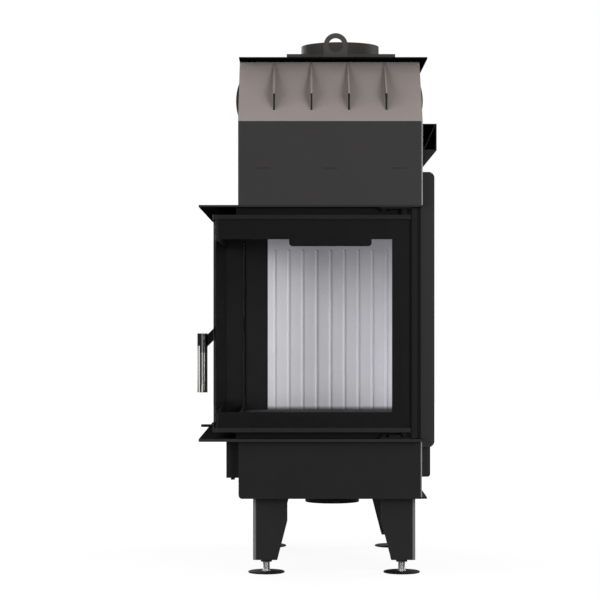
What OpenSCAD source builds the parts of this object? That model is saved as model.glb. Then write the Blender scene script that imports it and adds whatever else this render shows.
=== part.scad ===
// Fireplace insert with a corner glass door. The front looks towards -Y and the glazed side
// towards +X. The origin is on the floor, at the middle of the object's outline.

/* [Body] */
// Width over the plates and the upper box
body_w = 750; // [700:1:800]
// Depth of the base, firebox and upper box
body_d = 397; // [385:1:420]
// How far the base and firebox sides sit back from the plates' sides
side_inset = 28; // [27:1:34]
// Thickness of the body sheets
sheet_t = 4; // [3:0.5:5]
// Thickness of the thinner back panels
back_t = 2.5; // [2:0.5:3]

/* [Heights] */
// Underside of the base above the floor
base_z = 168; // [165:1:200]
// Height of the base
base_h = 125; // [115:1:150]
// Gap between the bottom plate and the door
door_gap_low = 14.5; // [14:0.5:17]
// Height of the door
door_h = 468; // [450:1:520]
// Gap between the door and the top plate
door_gap_high = 17; // [15:0.5:20]
// Height of the upper box
upper_h = 180.5; // [150:0.5:220]
// Height of the hood
hood_h = 142; // [130:1:160]

/* [Plates] */
// Thickness of the bottom plate
bottom_plate_t = 6; // [5:0.5:8]
// Thickness of the top plate
top_plate_t = 4; // [3:0.5:6]
// How far both plates reach in front of the body
shelf_reach = 85; // [80:1:95]
// Half width of the smoke opening in the top plate
smoke_half_w = 290; // [200:1:300]
// Half depth of the smoke opening in the top plate
smoke_half_d = 120; // [80:1:130]

/* [Base] */
// Outer radius of the bend at the base's lower front corner
base_bend_r = 8; // [6:1:12]
// How far the base floor reaches behind the body
floor_lip = 11; // [5:1:20]
// Outer diameter of the air spigot
spigot_d = 125; // [100:5:150]
// Wall of the air spigot
spigot_t = 2; // [1:0.5:3]
// How far the air spigot stands below the base
spigot_drop = 35; // [25:1:45]
// Height of the spigot's narrower neck under the base
spigot_neck_h = 2; // [1:0.5:4]
// How much the neck's radius is smaller
spigot_neck_in = 1; // [0.6:0.1:1.4]
// Width of the flange ring of the air spigot
spigot_flange = 12; // [8:1:20]
// Distance of the legs, spigot and feet behind the middle of the body
leg_shift = 9.4; // [0:0.1:12]

/* [Front air box] */
// Width of the air box
air_box_w = 600; // [500:1:640]
// Depth of the air box
air_box_d = 28; // [27:1:36]
// Height of the air box
air_box_h = 83; // [70:1:110]
// Sheet of the air box
air_box_t = 2.5; // [2:0.5:3]
// Height of the screw heads under the air box
air_box_nub_h = 5; // [3:0.5:8]
// Diameter of the screw heads under the air box
air_box_nub_d = 9; // [7:1:12]
// Width of each window between the base and the air box
air_window_w = 160; // [100:1:180]
// Height of each window between the base and the air box
air_window_h = 40; // [20:1:50]

/* [Air control] */
// Place of the lever along the shelf, from the middle
lever_x = -136; // [-200:1:-90]
// Width of the lever
lever_w = 18; // [14:1:24]
// Thickness of the lever
lever_t = 6; // [4:0.5:7]
// How far the lever stands out of the shelf
lever_reach = 18.4; // [12:0.1:25]
// Travel of the lever
lever_travel = 80; // [40:1:90]
// Diameter of the pin between the lever and the shutter
lever_pin_d = 7; // [5:0.5:7]
// Thickness of the shutter
shutter_t = 2; // [1.5:0.5:3]
// Length of the air slot in the bottom plate
air_slot_l = 70; // [40:1:74]
// Width of the air slot in the bottom plate
air_slot_w = 6; // [4:0.5:6.5]
// How far the shutter covers the slot on each side
shutter_lap = 2; // [1.5:0.5:2.5]

/* [Legs] */
// Width of each leg flange at the top
leg_w = 75.3; // [65:0.1:90]
// Width of each leg flange at the bottom
leg_foot_w = 53; // [50:1:60]
// Thickness of the leg sheet
leg_t = 5; // [4:0.5:6]
// Outer radius of the leg's bend
leg_bend_r = 8; // [7:1:12]
// Height of the leg's underside above the floor
leg_z = 30.5; // [28:0.5:40]
// Height above the floor where the taper starts
leg_taper_z = 116.8; // [100:0.1:130]
// Distance of the legs' outer faces from the plates' sides
leg_inset = 75; // [65:1:120]
// Distance of the rear legs' outer faces from the back of the body
leg_back_gap = 11.5; // [9:0.5:20]
// Diameter of the bolts that hold the legs
leg_bolt_d = 8; // [6:1:10]
// Diameter of the heads of those bolts
bolt_head_d = 14; // [12:1:16]
// Height of the heads of those bolts
bolt_head_h = 5; // [4:1:6]

/* [Feet] */
// Diameter of the foot pad
pad_d = 80; // [60:1:90]
// Thickness of the foot pad
pad_t = 4; // [3:0.5:6]
// Diameter of the boss on the pad
pad_boss_d = 20; // [18:1:30]
// Height of the boss on the pad
pad_boss_h = 1.5; // [1:0.5:6]
// Diameter of the foot stem
stem_d = 16; // [12:1:16]
// Length of the foot stem above the pad
stem_l = 86; // [75:1:95]
// Distance of the stem from the leg's outer faces
stem_inset = 29; // [27:0.5:30]
// Width across the flats of the nuts
nut_af = 24; // [22:1:27]
// Thickness of the nut inside the leg
weld_nut_t = 13; // [10:1:16]
// Thickness of the lock nut under the leg
lock_nut_t = 6; // [4:0.5:8]

/* [Firebox] */
// Thickness of the front and side frames
frame_t = 5.5; // [4:0.5:6]
// Height of the frames' strip above the bottom plate
frame_strip_low = 46; // [36:1:60]
// Height of the frames' strip below the top plate
frame_strip_high = 54; // [45:1:70]
// Width of the front frame's post on the far side
frame_post_w = 64; // [60:1:75]
// Width of the side frame's post at the rear
side_post_w = 61; // [56:1:70]
// Width of the strip on the side frame's post
post_strip_w = 12.5; // [10:0.5:13]
// Thickness of the strip on the side frame's post
post_strip_t = 2; // [1.5:0.5:2]
// Distance of the strip from the rear face of the body
post_strip_gap = 10.5; // [8:0.5:12]
// Thickness of the wall lining
lining_t = 30; // [25:1:40]
// Thickness of the floor lining
floor_lining_t = 34; // [25:1:40]
// Top of the wall lining below the top plate
lining_drop = 33; // [31:1:45]
// Front end of the left lining behind the front face of the body
lining_front = 53.5; // [45:0.5:70]
// Pitch of the raised ribs on the lining
rib_pitch = 34.4; // [30:0.1:40]
// Distance of the first rib from the lining's front end
rib_first = 17.5; // [10:0.5:20]
// Diameter of the round that a rib is part of
rib_d = 9; // [7:0.5:12]
// How far a rib stands out of the lining
rib_out = 3; // [2:0.5:3]
// Distance from the top of the ribs to the top of the lining
rib_top = 36; // [20:1:60]
// Thickness of the baffles
baffle_t = 25; // [20:1:30]
// Front edge of the lower baffle behind the front face
baffle_front = 96; // [80:1:140]
// Rear gap of the upper baffle
baffle_rear_gap = 80; // [60:1:120]
// Height of the upper baffle above the top plate
baffle_rise = 45; // [40:1:90]
// Leg of the angle strips that carry the baffles
rest_w = 20; // [15:1:30]
// Thickness of the angle strips
rest_t = 3; // [2:0.5:4]
// Height of the air wash deflector
wash_h = 48; // [40:1:50]
// Gap between the frames and the air wash deflector
wash_gap = 12; // [8:1:20]
// Sheet of the air wash deflector
wash_t = 2; // [1.5:0.5:3]

/* [Door] */
// How far the door's front face stands before the body
door_proud = 55; // [50:0.5:62]
// Height of the door rails
rail_h = 9.5; // [8:0.5:12]
// Width of the gap between the door and the frames
seal_gap = 5; // [4:0.5:6]
// Distance of the door's rear end from the rear face of the body
door_rear_gap = 25.8; // [24:0.1:28]
// Distance of the door's far end from the plates' far side
door_far_gap = 23; // [18:1:30]
// Outer radius of the glass corner
glass_bend_r = 10; // [8:1:14]
// Thickness of the glass
glass_t = 5; // [4:0.5:5]
// Set-back of the glass from the rails' faces
glass_setback = 1.5; // [0.5:0.5:2]
// Depth of the groove that holds the glass
glass_groove = 4; // [3:0.5:5]
// Width of the latch stile
latch_stile_w = 40; // [36:1:44]
// Width of the hinge stile
hinge_stile_w = 26; // [24:1:30]
// Thickness of the black enamel on the glass
enamel_t = 0.5; // [0.3:0.1:0.8]
// Height of the enamel border at the top
enamel_top = 43; // [30:1:60]
// Height of the enamel border at the bottom
enamel_low = 34; // [25:1:50]
// Width of the enamel border at the door's ends
enamel_end = 40; // [30:1:60]
// Width of the tab in the top border of the side glass
tab_w = 178; // [100:1:220]
// How far the tab hangs down
tab_h = 15; // [8:1:25]
// Radius of the tab's corners
tab_r = 8; // [3:1:8]
// Width of the seal rope
seal_w = 7; // [5:0.5:7]
// Diameter of the screws of the glass clips
clip_screw_d = 7; // [5:1:8]
// Width of a glass clip
clip_w = 24; // [16:1:36]
// Thickness of a glass clip
clip_t = 2; // [1.5:0.5:3]
// How far a glass clip reaches over the glass
clip_reach = 16; // [12:1:24]

/* [Hinge] */
// Diameter of the hinge pins
hinge_pin_d = 8; // [6:1:8]
// Distance of the hinge axis from the door's rear end
hinge_back = 12.7; // [12:0.1:14]
// Distance of the hinge axis from the door's side face
hinge_in = 14; // [13:0.5:14]
// Diameter of the collar on the hinge pins
hinge_collar_d = 17; // [13:1:17]
// Thickness of the hinge brackets
hinge_t = 4; // [3:0.5:5]
// Length of the hinge brackets
hinge_l = 66; // [60:1:90]
// Distance of the hinge brackets' outer edge from the plates' sides
hinge_edge = 1; // [0:0.5:2]
// How far a hinge pin reaches into the door's stile
pin_grip = 12; // [8:1:16]
// Thickness of the light block on the lower bracket
hinge_block_t = 5; // [3:0.5:6]
// Diameter of the screws in the brackets
hinge_screw_d = 6; // [4:1:6]
// Distance of the hinge screw before the hinge pin
hinge_screw_back = 44; // [40:1:46]
// Length of the light block on the lower bracket
hinge_block_l = 25; // [20:1:30]

/* [Handle] */
// Gap between the handle's arm and the door
shaft_out = 1.5; // [1:0.5:6]
// Distance of the handle tube's axis before the door
handle_out = 51.5; // [48:0.5:70]
// Diameter of the handle tube
handle_d = 20; // [16:1:24]
// Wall of the handle tube
handle_wall = 2; // [1.5:0.5:3]
// Length of the handle over all
handle_l = 146.5; // [120:0.5:180]
// Length of the black sleeve at the top
sleeve_l = 48; // [40:1:60]
// Thickness of the strip before the handle tube
guard_t = 3; // [2:0.5:4]
// Width of the strip before the handle tube
guard_w = 12; // [8:1:16]
// Gap between that strip and the tube
guard_gap = 2; // [1:0.5:5]
// Height of the block that holds that strip
guard_block_h = 31; // [20:1:36]
// Length of the plug in the lower end
plug_l = 8; // [4:1:14]
// Height of the handle's top below the shaft
handle_drop = 24; // [20:1:26]
// Upright width of the arm
arm_h = 30; // [24:1:34]
// Thickness of the arm
arm_t = 6; // [4:0.5:8]
// Diameter of the handle shaft
shaft_d = 12; // [10:1:14]
// Diameter of the collar on the shaft
shaft_collar_d = 20; // [16:1:24]
// Distance of the shaft from the door's far end
shaft_inset = 12; // [11:1:13]
// Height of the shaft above the door's lower edge
shaft_z = 231.5; // [180:0.5:280]
// Diameter of the cam hub
cam_hub_d = 20; // [18:1:22]
// Length of the cam tongue from the shaft's axis
cam_l = 16; // [14:1:17]
// Height of the cam tongue
cam_h = 12; // [10:1:14]
// Half height of the keeper
keeper_h = 16; // [14:1:20]
// Width of the keeper's lower lip
keeper_lip = 8; // [6:1:8]

/* [Hood] */
// How far each side of the hood leans in
hood_lean = 130; // [100:1:150]
// Sheet of the hood
hood_t = 3; // [2:0.5:4]
// Fins on each sloping side
side_fins = 4; // [2:1:6]
// Pitch of the fins on the sloping sides
side_fin_pitch = 81; // [50:1:90]
// Thickness of the fins
fin_t = 4; // [3:0.5:5]
// Height of the fins' lower ends above the hood's foot
fin_low = 26; // [10:1:35]
// Height of the fins' widest place
fin_kink = 61; // [40:1:80]
// Distance of the fins' upper ends below the cover
fin_top_gap = 2; // [1:1:20]
// How far the fins stand out at their widest place
fin_out = 42; // [36:1:50]
// Fins on each end
end_fins = 5; // [2:1:6]
// Pitch of the fins on the ends
end_fin_pitch = 110; // [80:1:115]
// Length of the end fins
end_fin_h = 90; // [60:1:110]
// How far the end fins stand out
end_fin_out = 9; // [5:0.5:12]

/* [Top] */
// Thickness of the top cover
cover_t = 4; // [3:0.5:6]
// Distance of the cover's sides from the plates' sides
cover_inset = 70; // [50:1:90]
// How far the cover reaches behind the body
cover_rear = 14; // [8:1:25]
// Side of the square flue plinth
plinth_w = 246; // [220:1:260]
// Height of the flue plinth
plinth_h = 29; // [20:1:40]
// Outer diameter of the flue collar
collar_d = 180; // [150:5:200]
// Wall of the flue collar
collar_t = 3; // [2:0.5:4]
// How far the collar stands above the plinth
collar_rise = 31.5; // [25:0.5:60]
// Distance of the flue behind the middle of the body
flue_shift = 27.5; // [10:0.5:40]
// Width of the lifting lugs
lug_w = 53; // [45:1:60]
// Thickness of the lifting lugs
lug_t = 8; // [6:1:10]
// Diameter of the hole in the lifting lugs
lug_hole_d = 32; // [24:1:36]
// Height of the lifting lugs
lug_h = 64; // [60:1:75]
// Distance of the lifting lugs from the plates' sides
lug_inset = 158; // [150:1:175]
// Distance of the lifting lugs behind the middle of the body
lug_shift = 14; // [0:1:30]
// Width of the slots in the upper box's sides
slot_w = 29; // [20:1:40]
// Height of the slots
slot_h = 2; // [2:0.5:5]
// Depth of the slots, which are pressed in from outside
slot_deep = 1.5; // [0.5:0.5:1.5]
// Pitch of the slots
slot_pitch = 147; // [100:1:150]
// Height of the slots above the top plate
slot_z = 78; // [50:1:110]

/* [Rear] */
// Depth of the rear casing
casing_d = 27; // [26:1:29]
// How far the rear casing reaches below the firebox
casing_low = 19; // [10:1:30]
// Gap between the rear casing and the gussets above it
casing_gap = 13; // [5:1:30]
// Outer radius of the casing's edges
casing_r = 13; // [10:1:13]
// Sheet of the rear casing
casing_t = 2; // [1.5:0.5:3]
// Depth of the lower rear duct
duct_d = 19.5; // [12:0.5:20]
// Height of the lower rear duct
duct_h = 66; // [50:1:75]
// Width of the lower rear duct
duct_w = 640; // [400:10:660]
// Depth of the rear channel
channel_d = 30.5; // [30:0.5:40]
// Height of the rear channel
channel_h = 57.5; // [45:0.5:60]
// Height of the channel's underside above the upper box's foot
channel_z = 118; // [110:1:122]
// Wall of the rear channel
channel_t = 2; // [1.5:0.5:3]
// Length of the rear channel
channel_w = 730; // [500:1:740]
// Height of the gussets under the channel
gusset_h = 32; // [20:1:40]
// Thickness of the gussets
gusset_t = 3; // [2:0.5:4]

/* [Fits] */
// Radial play of a pin or stem in its hole
running_fit = 0.05; // [0.02:0.01:0.1]
// Play between a moving piece and the face that it slides on
slide_gap = 0.3; // [0.2:0.1:0.5]
// Play round a sheet in a groove
groove_fit = 0.2; // [0.1:0.05:0.3]
// Play round a loose hole or slot
hole_fit = 1; // [0.5:0.5:1]

/* [Hidden] */

// Sides of a full circle, of a small one and of a nut
round_fn = 96;
small_fn = 32;
nut_fn = 6;
// How far a cut runs past what it cuts
over = 1;

// Outline of the object and of its body
half_w = body_w / 2;
side_x = half_w - side_inset;
front_reach = door_proud + handle_out + handle_d / 2 + guard_gap + guard_t;
body_y = (front_reach - channel_d) / 2;
front_y = body_y - body_d / 2;
rear_y = body_y + body_d / 2;
shelf_y = front_y - shelf_reach;

// Heights of the stack
base_top = base_z + base_h;
shelf_z = base_top + bottom_plate_t;
door_z = shelf_z + door_gap_low;
door_top = door_z + door_h;
top_plate_z = door_top + door_gap_high;
box_z = top_plate_z + top_plate_t;
hood_z = box_z + upper_h;
cover_z = hood_z + hood_h;
plinth_z = cover_z + cover_t;
collar_z = plinth_z + plinth_h;

// Legs and feet
nut_r = nut_af / 2 / cos(180 / nut_fn);
spigot_neck_r = spigot_d / 2 - spigot_neck_in;
leg_x = half_w - leg_inset;
leg_y = body_y + leg_shift;
leg_half = body_d / 2 - leg_shift - leg_back_gap;
stem_x = leg_x - stem_inset;
stem_y = leg_half - stem_inset;
stem_hole_r = stem_d / 2 + running_fit;
bolt_place_shares = [[0.7, 0.3], [0.3, 0.7]];
leg_bolt_places = [for (share = bolt_place_shares) leg_w * share];

// Door
door_x = half_w;
door_far_x = door_far_gap - half_w;
door_y = front_y - door_proud;
door_rear_y = rear_y - door_rear_gap;
rail_front_d = door_proud - frame_t - seal_gap;
rail_side_d = side_inset - seal_gap;
door_in_x = door_x - rail_side_d;
door_in_y = door_y + rail_front_d;
glass_z = door_z + rail_h;
glass_top = door_top - rail_h;
glass_far_x = door_far_x + latch_stile_w - glass_groove;
enamel_set = glass_setback + glass_t;
rail_bend_r = glass_bend_r + glass_setback;
stile_x = door_x - enamel_set - enamel_t - groove_fit;
stile_y = door_rear_y - hinge_stile_w;
latch_x = door_far_x + latch_stile_w;
seal_t = seal_gap - slide_gap;
hinge_x = door_x - hinge_in;
hinge_y = door_rear_y - hinge_back;
nose_r = hinge_x - door_in_x;
pin_hole_r = hinge_pin_d / 2 + running_fit;

// Handle
shaft_x = door_far_x + shaft_inset;
shaft_height = door_z + shaft_z;
cam_t = seal_gap - 2 * slide_gap;
keeper_t = seal_gap - hole_fit;
keeper_gap = 2 * hole_fit;
shaft_end_y = door_in_y + slide_gap + cam_t;
tube_y = door_y - handle_out;
tube_top = shaft_height - handle_drop;
tube_z = tube_top - handle_l;
guard_y = tube_y - handle_d / 2 - guard_gap;

// Air control
pin_y = front_y - frame_t - hole_fit - lever_pin_d / 2;
air_slot_y = front_y - air_box_d + air_box_t + shutter_lap;
air_box_z = base_top - air_box_h;
shutter_half_w = air_slot_l / 2 + shutter_lap;
lever_z = shelf_z + slide_gap;
shutter_z = base_top - slide_gap - shutter_t;

// Places of the glass clips along the panes
clip_front_shares = [0.12, 0.5, 0.88];
clip_side_shares = [0.25, 0.75];

// Firebox
wall_x = side_x - sheet_t;
lining_x = lining_t - wall_x;
lining_z = shelf_z + floor_lining_t;
lining_top = top_plate_z - lining_drop;
lining_y = front_y + lining_front;
lining_back_y = rear_y - back_t - lining_t;
window_z = shelf_z + frame_strip_low;
window_top = top_plate_z - frame_strip_high;
window_x = frame_post_w - half_w;
window_y = rear_y - side_post_w;
floor_tiles = 3;
floor_tile_w = (wall_x + side_x - frame_t) / floor_tiles;
back_rib_count = floor((side_x - frame_t - lining_x) / rib_pitch) - 1;
rib_count = floor((lining_back_y - lining_y - rib_first - rib_d) / rib_pitch);
rib_set = rib_d / 2 - rib_out;

// Hood, flue and lugs
hood_side_t = hood_t * norm([hood_lean, hood_h]) / hood_h;
flue_y = body_y + flue_shift;
lug_x = half_w - lug_inset;
lug_y = body_y + lug_shift;
lug_r = lug_w / 2;
end_fin_r = (pow(end_fin_h / 2, 2) + pow(end_fin_out, 2)) / (2 * end_fin_out);
duct_r = casing_r / 2;
casing_z = shelf_z - casing_low;
casing_h = box_z + channel_z - gusset_h - casing_gap - casing_z;
flue_hole_r = collar_d / 2 + groove_fit;

// A box from its lowest to its highest corner
module block(low, high) {
    translate(low) cube(high - low);
}

// A flat outline in X and Z, carried along Y from y0 to y1
module along_y(y0, y1) {
    translate([0, y1, 0]) rotate([90, 0, 0]) linear_extrude(y1 - y0) children();
}

// A flat outline in Y and Z, carried along X from x0 to x1
module along_x(x0, x1) {
    translate([x0, 0, 0]) rotate([90, 0, 90]) linear_extrude(x1 - x0) children();
}

// A round bar along Z, Y or X
module rod_z(x, y, z0, z1, r, sides = round_fn) {
    translate([x, y, z0]) cylinder(h = z1 - z0, r = r, $fn = sides);
}

module rod_y(x, z, y0, y1, r, sides = round_fn) {
    translate([x, y1, z]) rotate([90, 0, 0]) cylinder(h = y1 - y0, r = r, $fn = sides);
}

module rod_x(y, z, x0, x1, r, sides = round_fn) {
    translate([x0, y, z]) rotate([0, 90, 0]) cylinder(h = x1 - x0, r = r, $fn = sides);
}

// A square with one rounded corner, at the origin
module bent_square(size, r) {
    difference() {
        square(size);
        square(r);
    }
    translate([r, r]) circle(r, $fn = small_fn);
}

// The same piece on the left and on the right
module both_sides() {
    children();
    mirror([1, 0, 0]) children();
}

// Base
module base_pan() {
    color([0.16, 0.16, 0.17])
    difference() {
        along_x(-wall_x, wall_x)
            translate([front_y, base_z])
            difference() {
                bent_square_wide(body_d + floor_lip, base_h, base_bend_r);
                translate([sheet_t, sheet_t])
                    bent_square_wide(body_d + floor_lip, base_h, base_bend_r - sheet_t);
            }
        rod_z(0, leg_y, base_z - over, base_z + sheet_t + over, spigot_neck_r + groove_fit);
        both_sides()
            translate([air_window_w / 2, front_y - over, base_top - air_box_h / 2 - air_window_h / 2])
            cube([air_window_w, sheet_t + 2 * over, air_window_h]);
        each_leg() leg_bolt_holes();
    }
}

// A wide outline with its lower front corner rounded
module bent_square_wide(w, h, r) {
    difference() {
        square([w, h]);
        square(r);
    }
    translate([r, r]) circle(r, $fn = small_fn);
}

module base_side_panels() {
    color([0.16, 0.16, 0.17])
    both_sides()
        along_x(wall_x, side_x)
        translate([front_y, base_z])
        bent_square_wide(body_d - back_t, base_h, base_bend_r);
}

module base_back_panel() {
    color([0.3, 0.3, 0.31])
    block([-side_x, rear_y - back_t, base_z + sheet_t], [side_x, rear_y, base_top]);
}

module air_spigot() {
    color([0.12, 0.12, 0.12])
    difference() {
        union() {
            rod_z(0, leg_y, base_z - spigot_drop, base_z - spigot_neck_h, spigot_d / 2);
            rod_z(0, leg_y, base_z - spigot_neck_h, base_z + sheet_t, spigot_neck_r);
            rod_z(0, leg_y, base_z + sheet_t, base_z + sheet_t + spigot_t, spigot_d / 2 + spigot_flange);
        }
        rod_z(0, leg_y, base_z - spigot_drop - over, base_z + base_h, spigot_d / 2 - spigot_t);
    }
}

module front_air_box() {
    color([0.08, 0.08, 0.08])
    difference() {
        block([-air_box_w / 2, front_y - air_box_d, base_top - air_box_h],
            [air_box_w / 2, front_y, base_top]);
        block([air_box_t - air_box_w / 2, front_y - air_box_d + air_box_t, base_top - air_box_h + air_box_t],
            [air_box_w / 2 - air_box_t, front_y + over, base_top + over]);
    }
}

// A screw, or its hole, in the line of the hinge brackets
module hinge_screw(z0, z1, r = hinge_screw_d / 2) {
    rod_z(hinge_x, hinge_y - hinge_screw_back, z0, z1, r, small_fn);
}

// Plates
module long_slot(x0, x1, y, w) {
    block([x0, y - w / 2, base_top - over], [x1, y + w / 2, shelf_z + over]);
    for (x = [x0, x1]) rod_z(x, y, base_top - over, shelf_z + over, w / 2, small_fn);
}

module bottom_plate() {
    color([0.2, 0.2, 0.2])
    difference() {
        block([-half_w, shelf_y, base_top], [half_w, rear_y, shelf_z]);
        long_slot(lever_x, lever_x + lever_travel, pin_y, lever_pin_d + hole_fit);
        hinge_screw(base_top - over, shelf_z + over);
        long_slot(lever_x - (air_slot_l - air_slot_w) / 2, lever_x + (air_slot_l - air_slot_w) / 2,
            air_slot_y + air_slot_w / 2, air_slot_w);
    }
}

module top_plate() {
    color([0.16, 0.16, 0.16])
    difference() {
        block([-half_w, shelf_y, top_plate_z], [half_w, rear_y, box_z]);
        hinge_screw(top_plate_z - over, box_z + over);
        block([-smoke_half_w, body_y - smoke_half_d, top_plate_z - over],
            [smoke_half_w, body_y + smoke_half_d, box_z + over]);
    }
}

// Firebox
module front_frame() {
    color([0.13, 0.13, 0.13])
    difference() {
        block([-half_w, front_y - frame_t, shelf_z], [side_x, front_y, top_plate_z]);
        block([window_x, front_y - frame_t - over, window_z], [side_x + over, front_y + over, window_top]);
    }
}

module side_frame() {
    color([0.13, 0.13, 0.13])
    difference() {
        block([side_x - frame_t, front_y, shelf_z], [side_x, rear_y - back_t, top_plate_z]);
        block([side_x - frame_t - over, front_y - over, window_z], [side_x + over, window_y, window_top]);
    }
}

module rear_post() {
    color([0.19, 0.19, 0.19])
    block([side_x, rear_y - post_strip_gap - post_strip_w, shelf_z],
        [side_x + post_strip_t, rear_y - post_strip_gap, top_plate_z]);
}

module firebox_back() {
    color([0.2, 0.2, 0.2])
    block([-side_x, rear_y - back_t, shelf_z], [side_x, rear_y, top_plate_z]);
}

module firebox_left_wall() {
    color([0.16, 0.16, 0.16])
    block([-side_x, front_y, shelf_z], [-wall_x, rear_y - back_t, top_plate_z]);
}

module front_channel() {
    color([0.13, 0.13, 0.13])
    difference() {
        block([-wall_x, front_y, lining_z], [lining_x, lining_y, lining_top]);
        block([-wall_x - over, front_y - over, lining_z - over],
            [lining_x - rest_t, lining_y - rest_t, lining_top + over]);
    }
}

// A rib is most of a rod set into the lining, with a cone for its upper end
module lining_rib(x, y) {
    rib_cone_z = lining_top - rib_top - rib_out;
    rod_z(x, y, lining_z, rib_cone_z, rib_d / 2, small_fn);
    translate([x, y, rib_cone_z]) cylinder(h = rib_out, r1 = rib_d / 2, r2 = rib_set / 2, $fn = small_fn);
}

module lining_back() {
    color([0.8, 0.8, 0.82]) {
        block([-wall_x, lining_back_y, lining_z], [side_x - frame_t - hole_fit, rear_y - back_t, lining_top]);
        for (i = [1 : back_rib_count]) lining_rib(lining_x + i * rib_pitch, lining_back_y + rib_set);
    }
}

module lining_left() {
    color([0.8, 0.8, 0.82]) {
        block([-wall_x, lining_y, lining_z], [lining_x, lining_back_y, lining_top]);
        for (i = [0 : rib_count]) lining_rib(lining_x - rib_set, lining_y + rib_first + i * rib_pitch);
    }
}

module lining_floor() {
    color([0.25, 0.25, 0.26])
    for (i = [0 : floor_tiles - 1])
        translate([-wall_x + i * floor_tile_w, 0, 0])
        block([0, front_y, shelf_z], [floor_tile_w - groove_fit, rear_y - back_t, lining_z]);
}

module lower_baffle() {
    color([0.75, 0.75, 0.76])
    block([-wall_x, front_y + baffle_front, lining_top],
        [side_x - frame_t - hole_fit, rear_y - back_t, lining_top + baffle_t]);
}

module upper_baffle() {
    color([0.75, 0.75, 0.76])
    block([-half_w + hood_t, front_y + hood_t, box_z + baffle_rise],
        [half_w - hood_t, rear_y - baffle_rear_gap, box_z + baffle_rise + baffle_t]);
}

// Angle strips: one under the lower baffle, one on each side under the upper baffle
module baffle_rests() {
    color([0.15, 0.15, 0.15])
    {
        angle_strip(side_x - frame_t, front_y + baffle_front, window_y, lining_top);
        both_sides()
            angle_strip(half_w - hood_t, front_y + hood_t, rear_y - baffle_rear_gap, box_z + baffle_rise);
    }
}

module angle_strip(x, y0, y1, z) {
    block([x - rest_w, y0, z - rest_t], [x, y1, z]);
    block([x - rest_t, y0, z - rest_w], [x, y1, z - rest_t]);
}

module air_wash_deflector() {
    color([0.15, 0.15, 0.15])
    {
        block([window_x, front_y + wash_gap, top_plate_z - wash_h],
            [side_x - frame_t, front_y + wash_gap + wash_t, top_plate_z]);
        block([window_x, front_y, top_plate_z - wash_t], [side_x - frame_t, front_y + wash_gap, top_plate_z]);
    }
}

// Upper box and hood
module upper_front_panel() {
    color([0.22, 0.22, 0.22])
    block([hood_t - half_w, front_y, box_z], [half_w - hood_t, front_y + hood_t, hood_z]);
}

module upper_side_panels() {
    color([0.22, 0.22, 0.22])
    both_sides()
    difference() {
        block([half_w - hood_t, front_y, box_z], [half_w, rear_y - back_t, hood_z]);
        for (i = [-1 : 1])
            block([half_w - slot_deep, body_y + i * slot_pitch - slot_w / 2, box_z + slot_z],
                [half_w + over, body_y + i * slot_pitch + slot_w / 2, box_z + slot_z + slot_h]);
    }
}

module upper_back_panel() {
    color([0.35, 0.35, 0.36])
    block([-half_w, rear_y - back_t, box_z], [half_w, rear_y, hood_z]);
}

// Half width of the hood at a height above its foot
function hood_x(z) = half_w - z * hood_lean / hood_h;

module hood_outline(inset, z0, z1) {
    polygon([[inset - hood_x(z0), z0], [hood_x(z0) - inset, z0],
        [hood_x(z1) - inset, z1], [inset - hood_x(z1), z1]]);
}

module hood() {
    color([0.55, 0.51, 0.49])
    translate([0, 0, hood_z])
    difference() {
        along_y(front_y, rear_y) hood_outline(0, 0, hood_h);
        along_y(front_y + hood_t, rear_y - hood_t) hood_outline(hood_side_t, -over, hood_h + over);
    }
}

module side_fin_outline() {
    polygon([[hood_x(fin_low), fin_low], [hood_x(fin_kink) + fin_out, fin_kink],
        [hood_x(hood_h - fin_top_gap), hood_h - fin_top_gap]]);
}

module hood_side_fins() {
    color([0.5, 0.47, 0.45])
    both_sides()
        for (i = [0 : side_fins - 1])
            translate([0, body_y + (i - (side_fins - 1) / 2) * side_fin_pitch, hood_z])
            along_y(-fin_t / 2, fin_t / 2)
            side_fin_outline();
}

// Rounded fins on the hood's front and rear
module hood_end_fins() {
    color([0.5, 0.47, 0.45])
    for (y = [front_y, rear_y])
        for (i = [0 : end_fins - 1])
            translate([(i - (end_fins - 1) / 2) * end_fin_pitch, y, hood_z])
            mirror([0, y > body_y ? 1 : 0, 0])
            along_x(-fin_t / 2, fin_t / 2)
            intersection() {
                translate([end_fin_r - end_fin_out, fin_low / 2 + end_fin_h / 2])
                    circle(end_fin_r, $fn = round_fn);
                translate([-end_fin_out, 0]) square([end_fin_out, hood_h]);
            }
}

module top_cover() {
    color([0.14, 0.14, 0.14])
    difference() {
        block([cover_inset - half_w, front_y, cover_z],
            [half_w - cover_inset, rear_y + cover_rear, plinth_z]);
        rod_z(0, flue_y, cover_z - over, plinth_z + over, flue_hole_r);
    }
}

module flue_plinth() {
    color([0.28, 0.26, 0.25])
    difference() {
        block([-plinth_w / 2, flue_y - plinth_w / 2, plinth_z],
            [plinth_w / 2, flue_y + plinth_w / 2, collar_z]);
        rod_z(0, flue_y, plinth_z - over, collar_z + over, flue_hole_r);
    }
}

// The collar stands through the plinth, with a rolled rim at its top
module flue_collar() {
    color([0.28, 0.26, 0.25])
    difference() {
        rod_z(0, flue_y, cover_z, collar_z + collar_rise, collar_d / 2);
        rod_z(0, flue_y, cover_z - over, collar_z + collar_rise + over, collar_d / 2 - collar_t);
    }
}

module lifting_lugs() {
    color([0.28, 0.26, 0.25])
    both_sides()
        difference() {
            union() {
                block([lug_x - lug_t, lug_y - lug_r, plinth_z],
                    [lug_x, lug_y + lug_r, plinth_z + lug_h - lug_r]);
                rod_x(lug_y, plinth_z + lug_h - lug_r, lug_x - lug_t, lug_x, lug_r);
            }
            rod_x(lug_y, plinth_z + lug_h - lug_r, lug_x - lug_t - over, lug_x + over, lug_hole_d / 2);
        }
}

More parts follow.
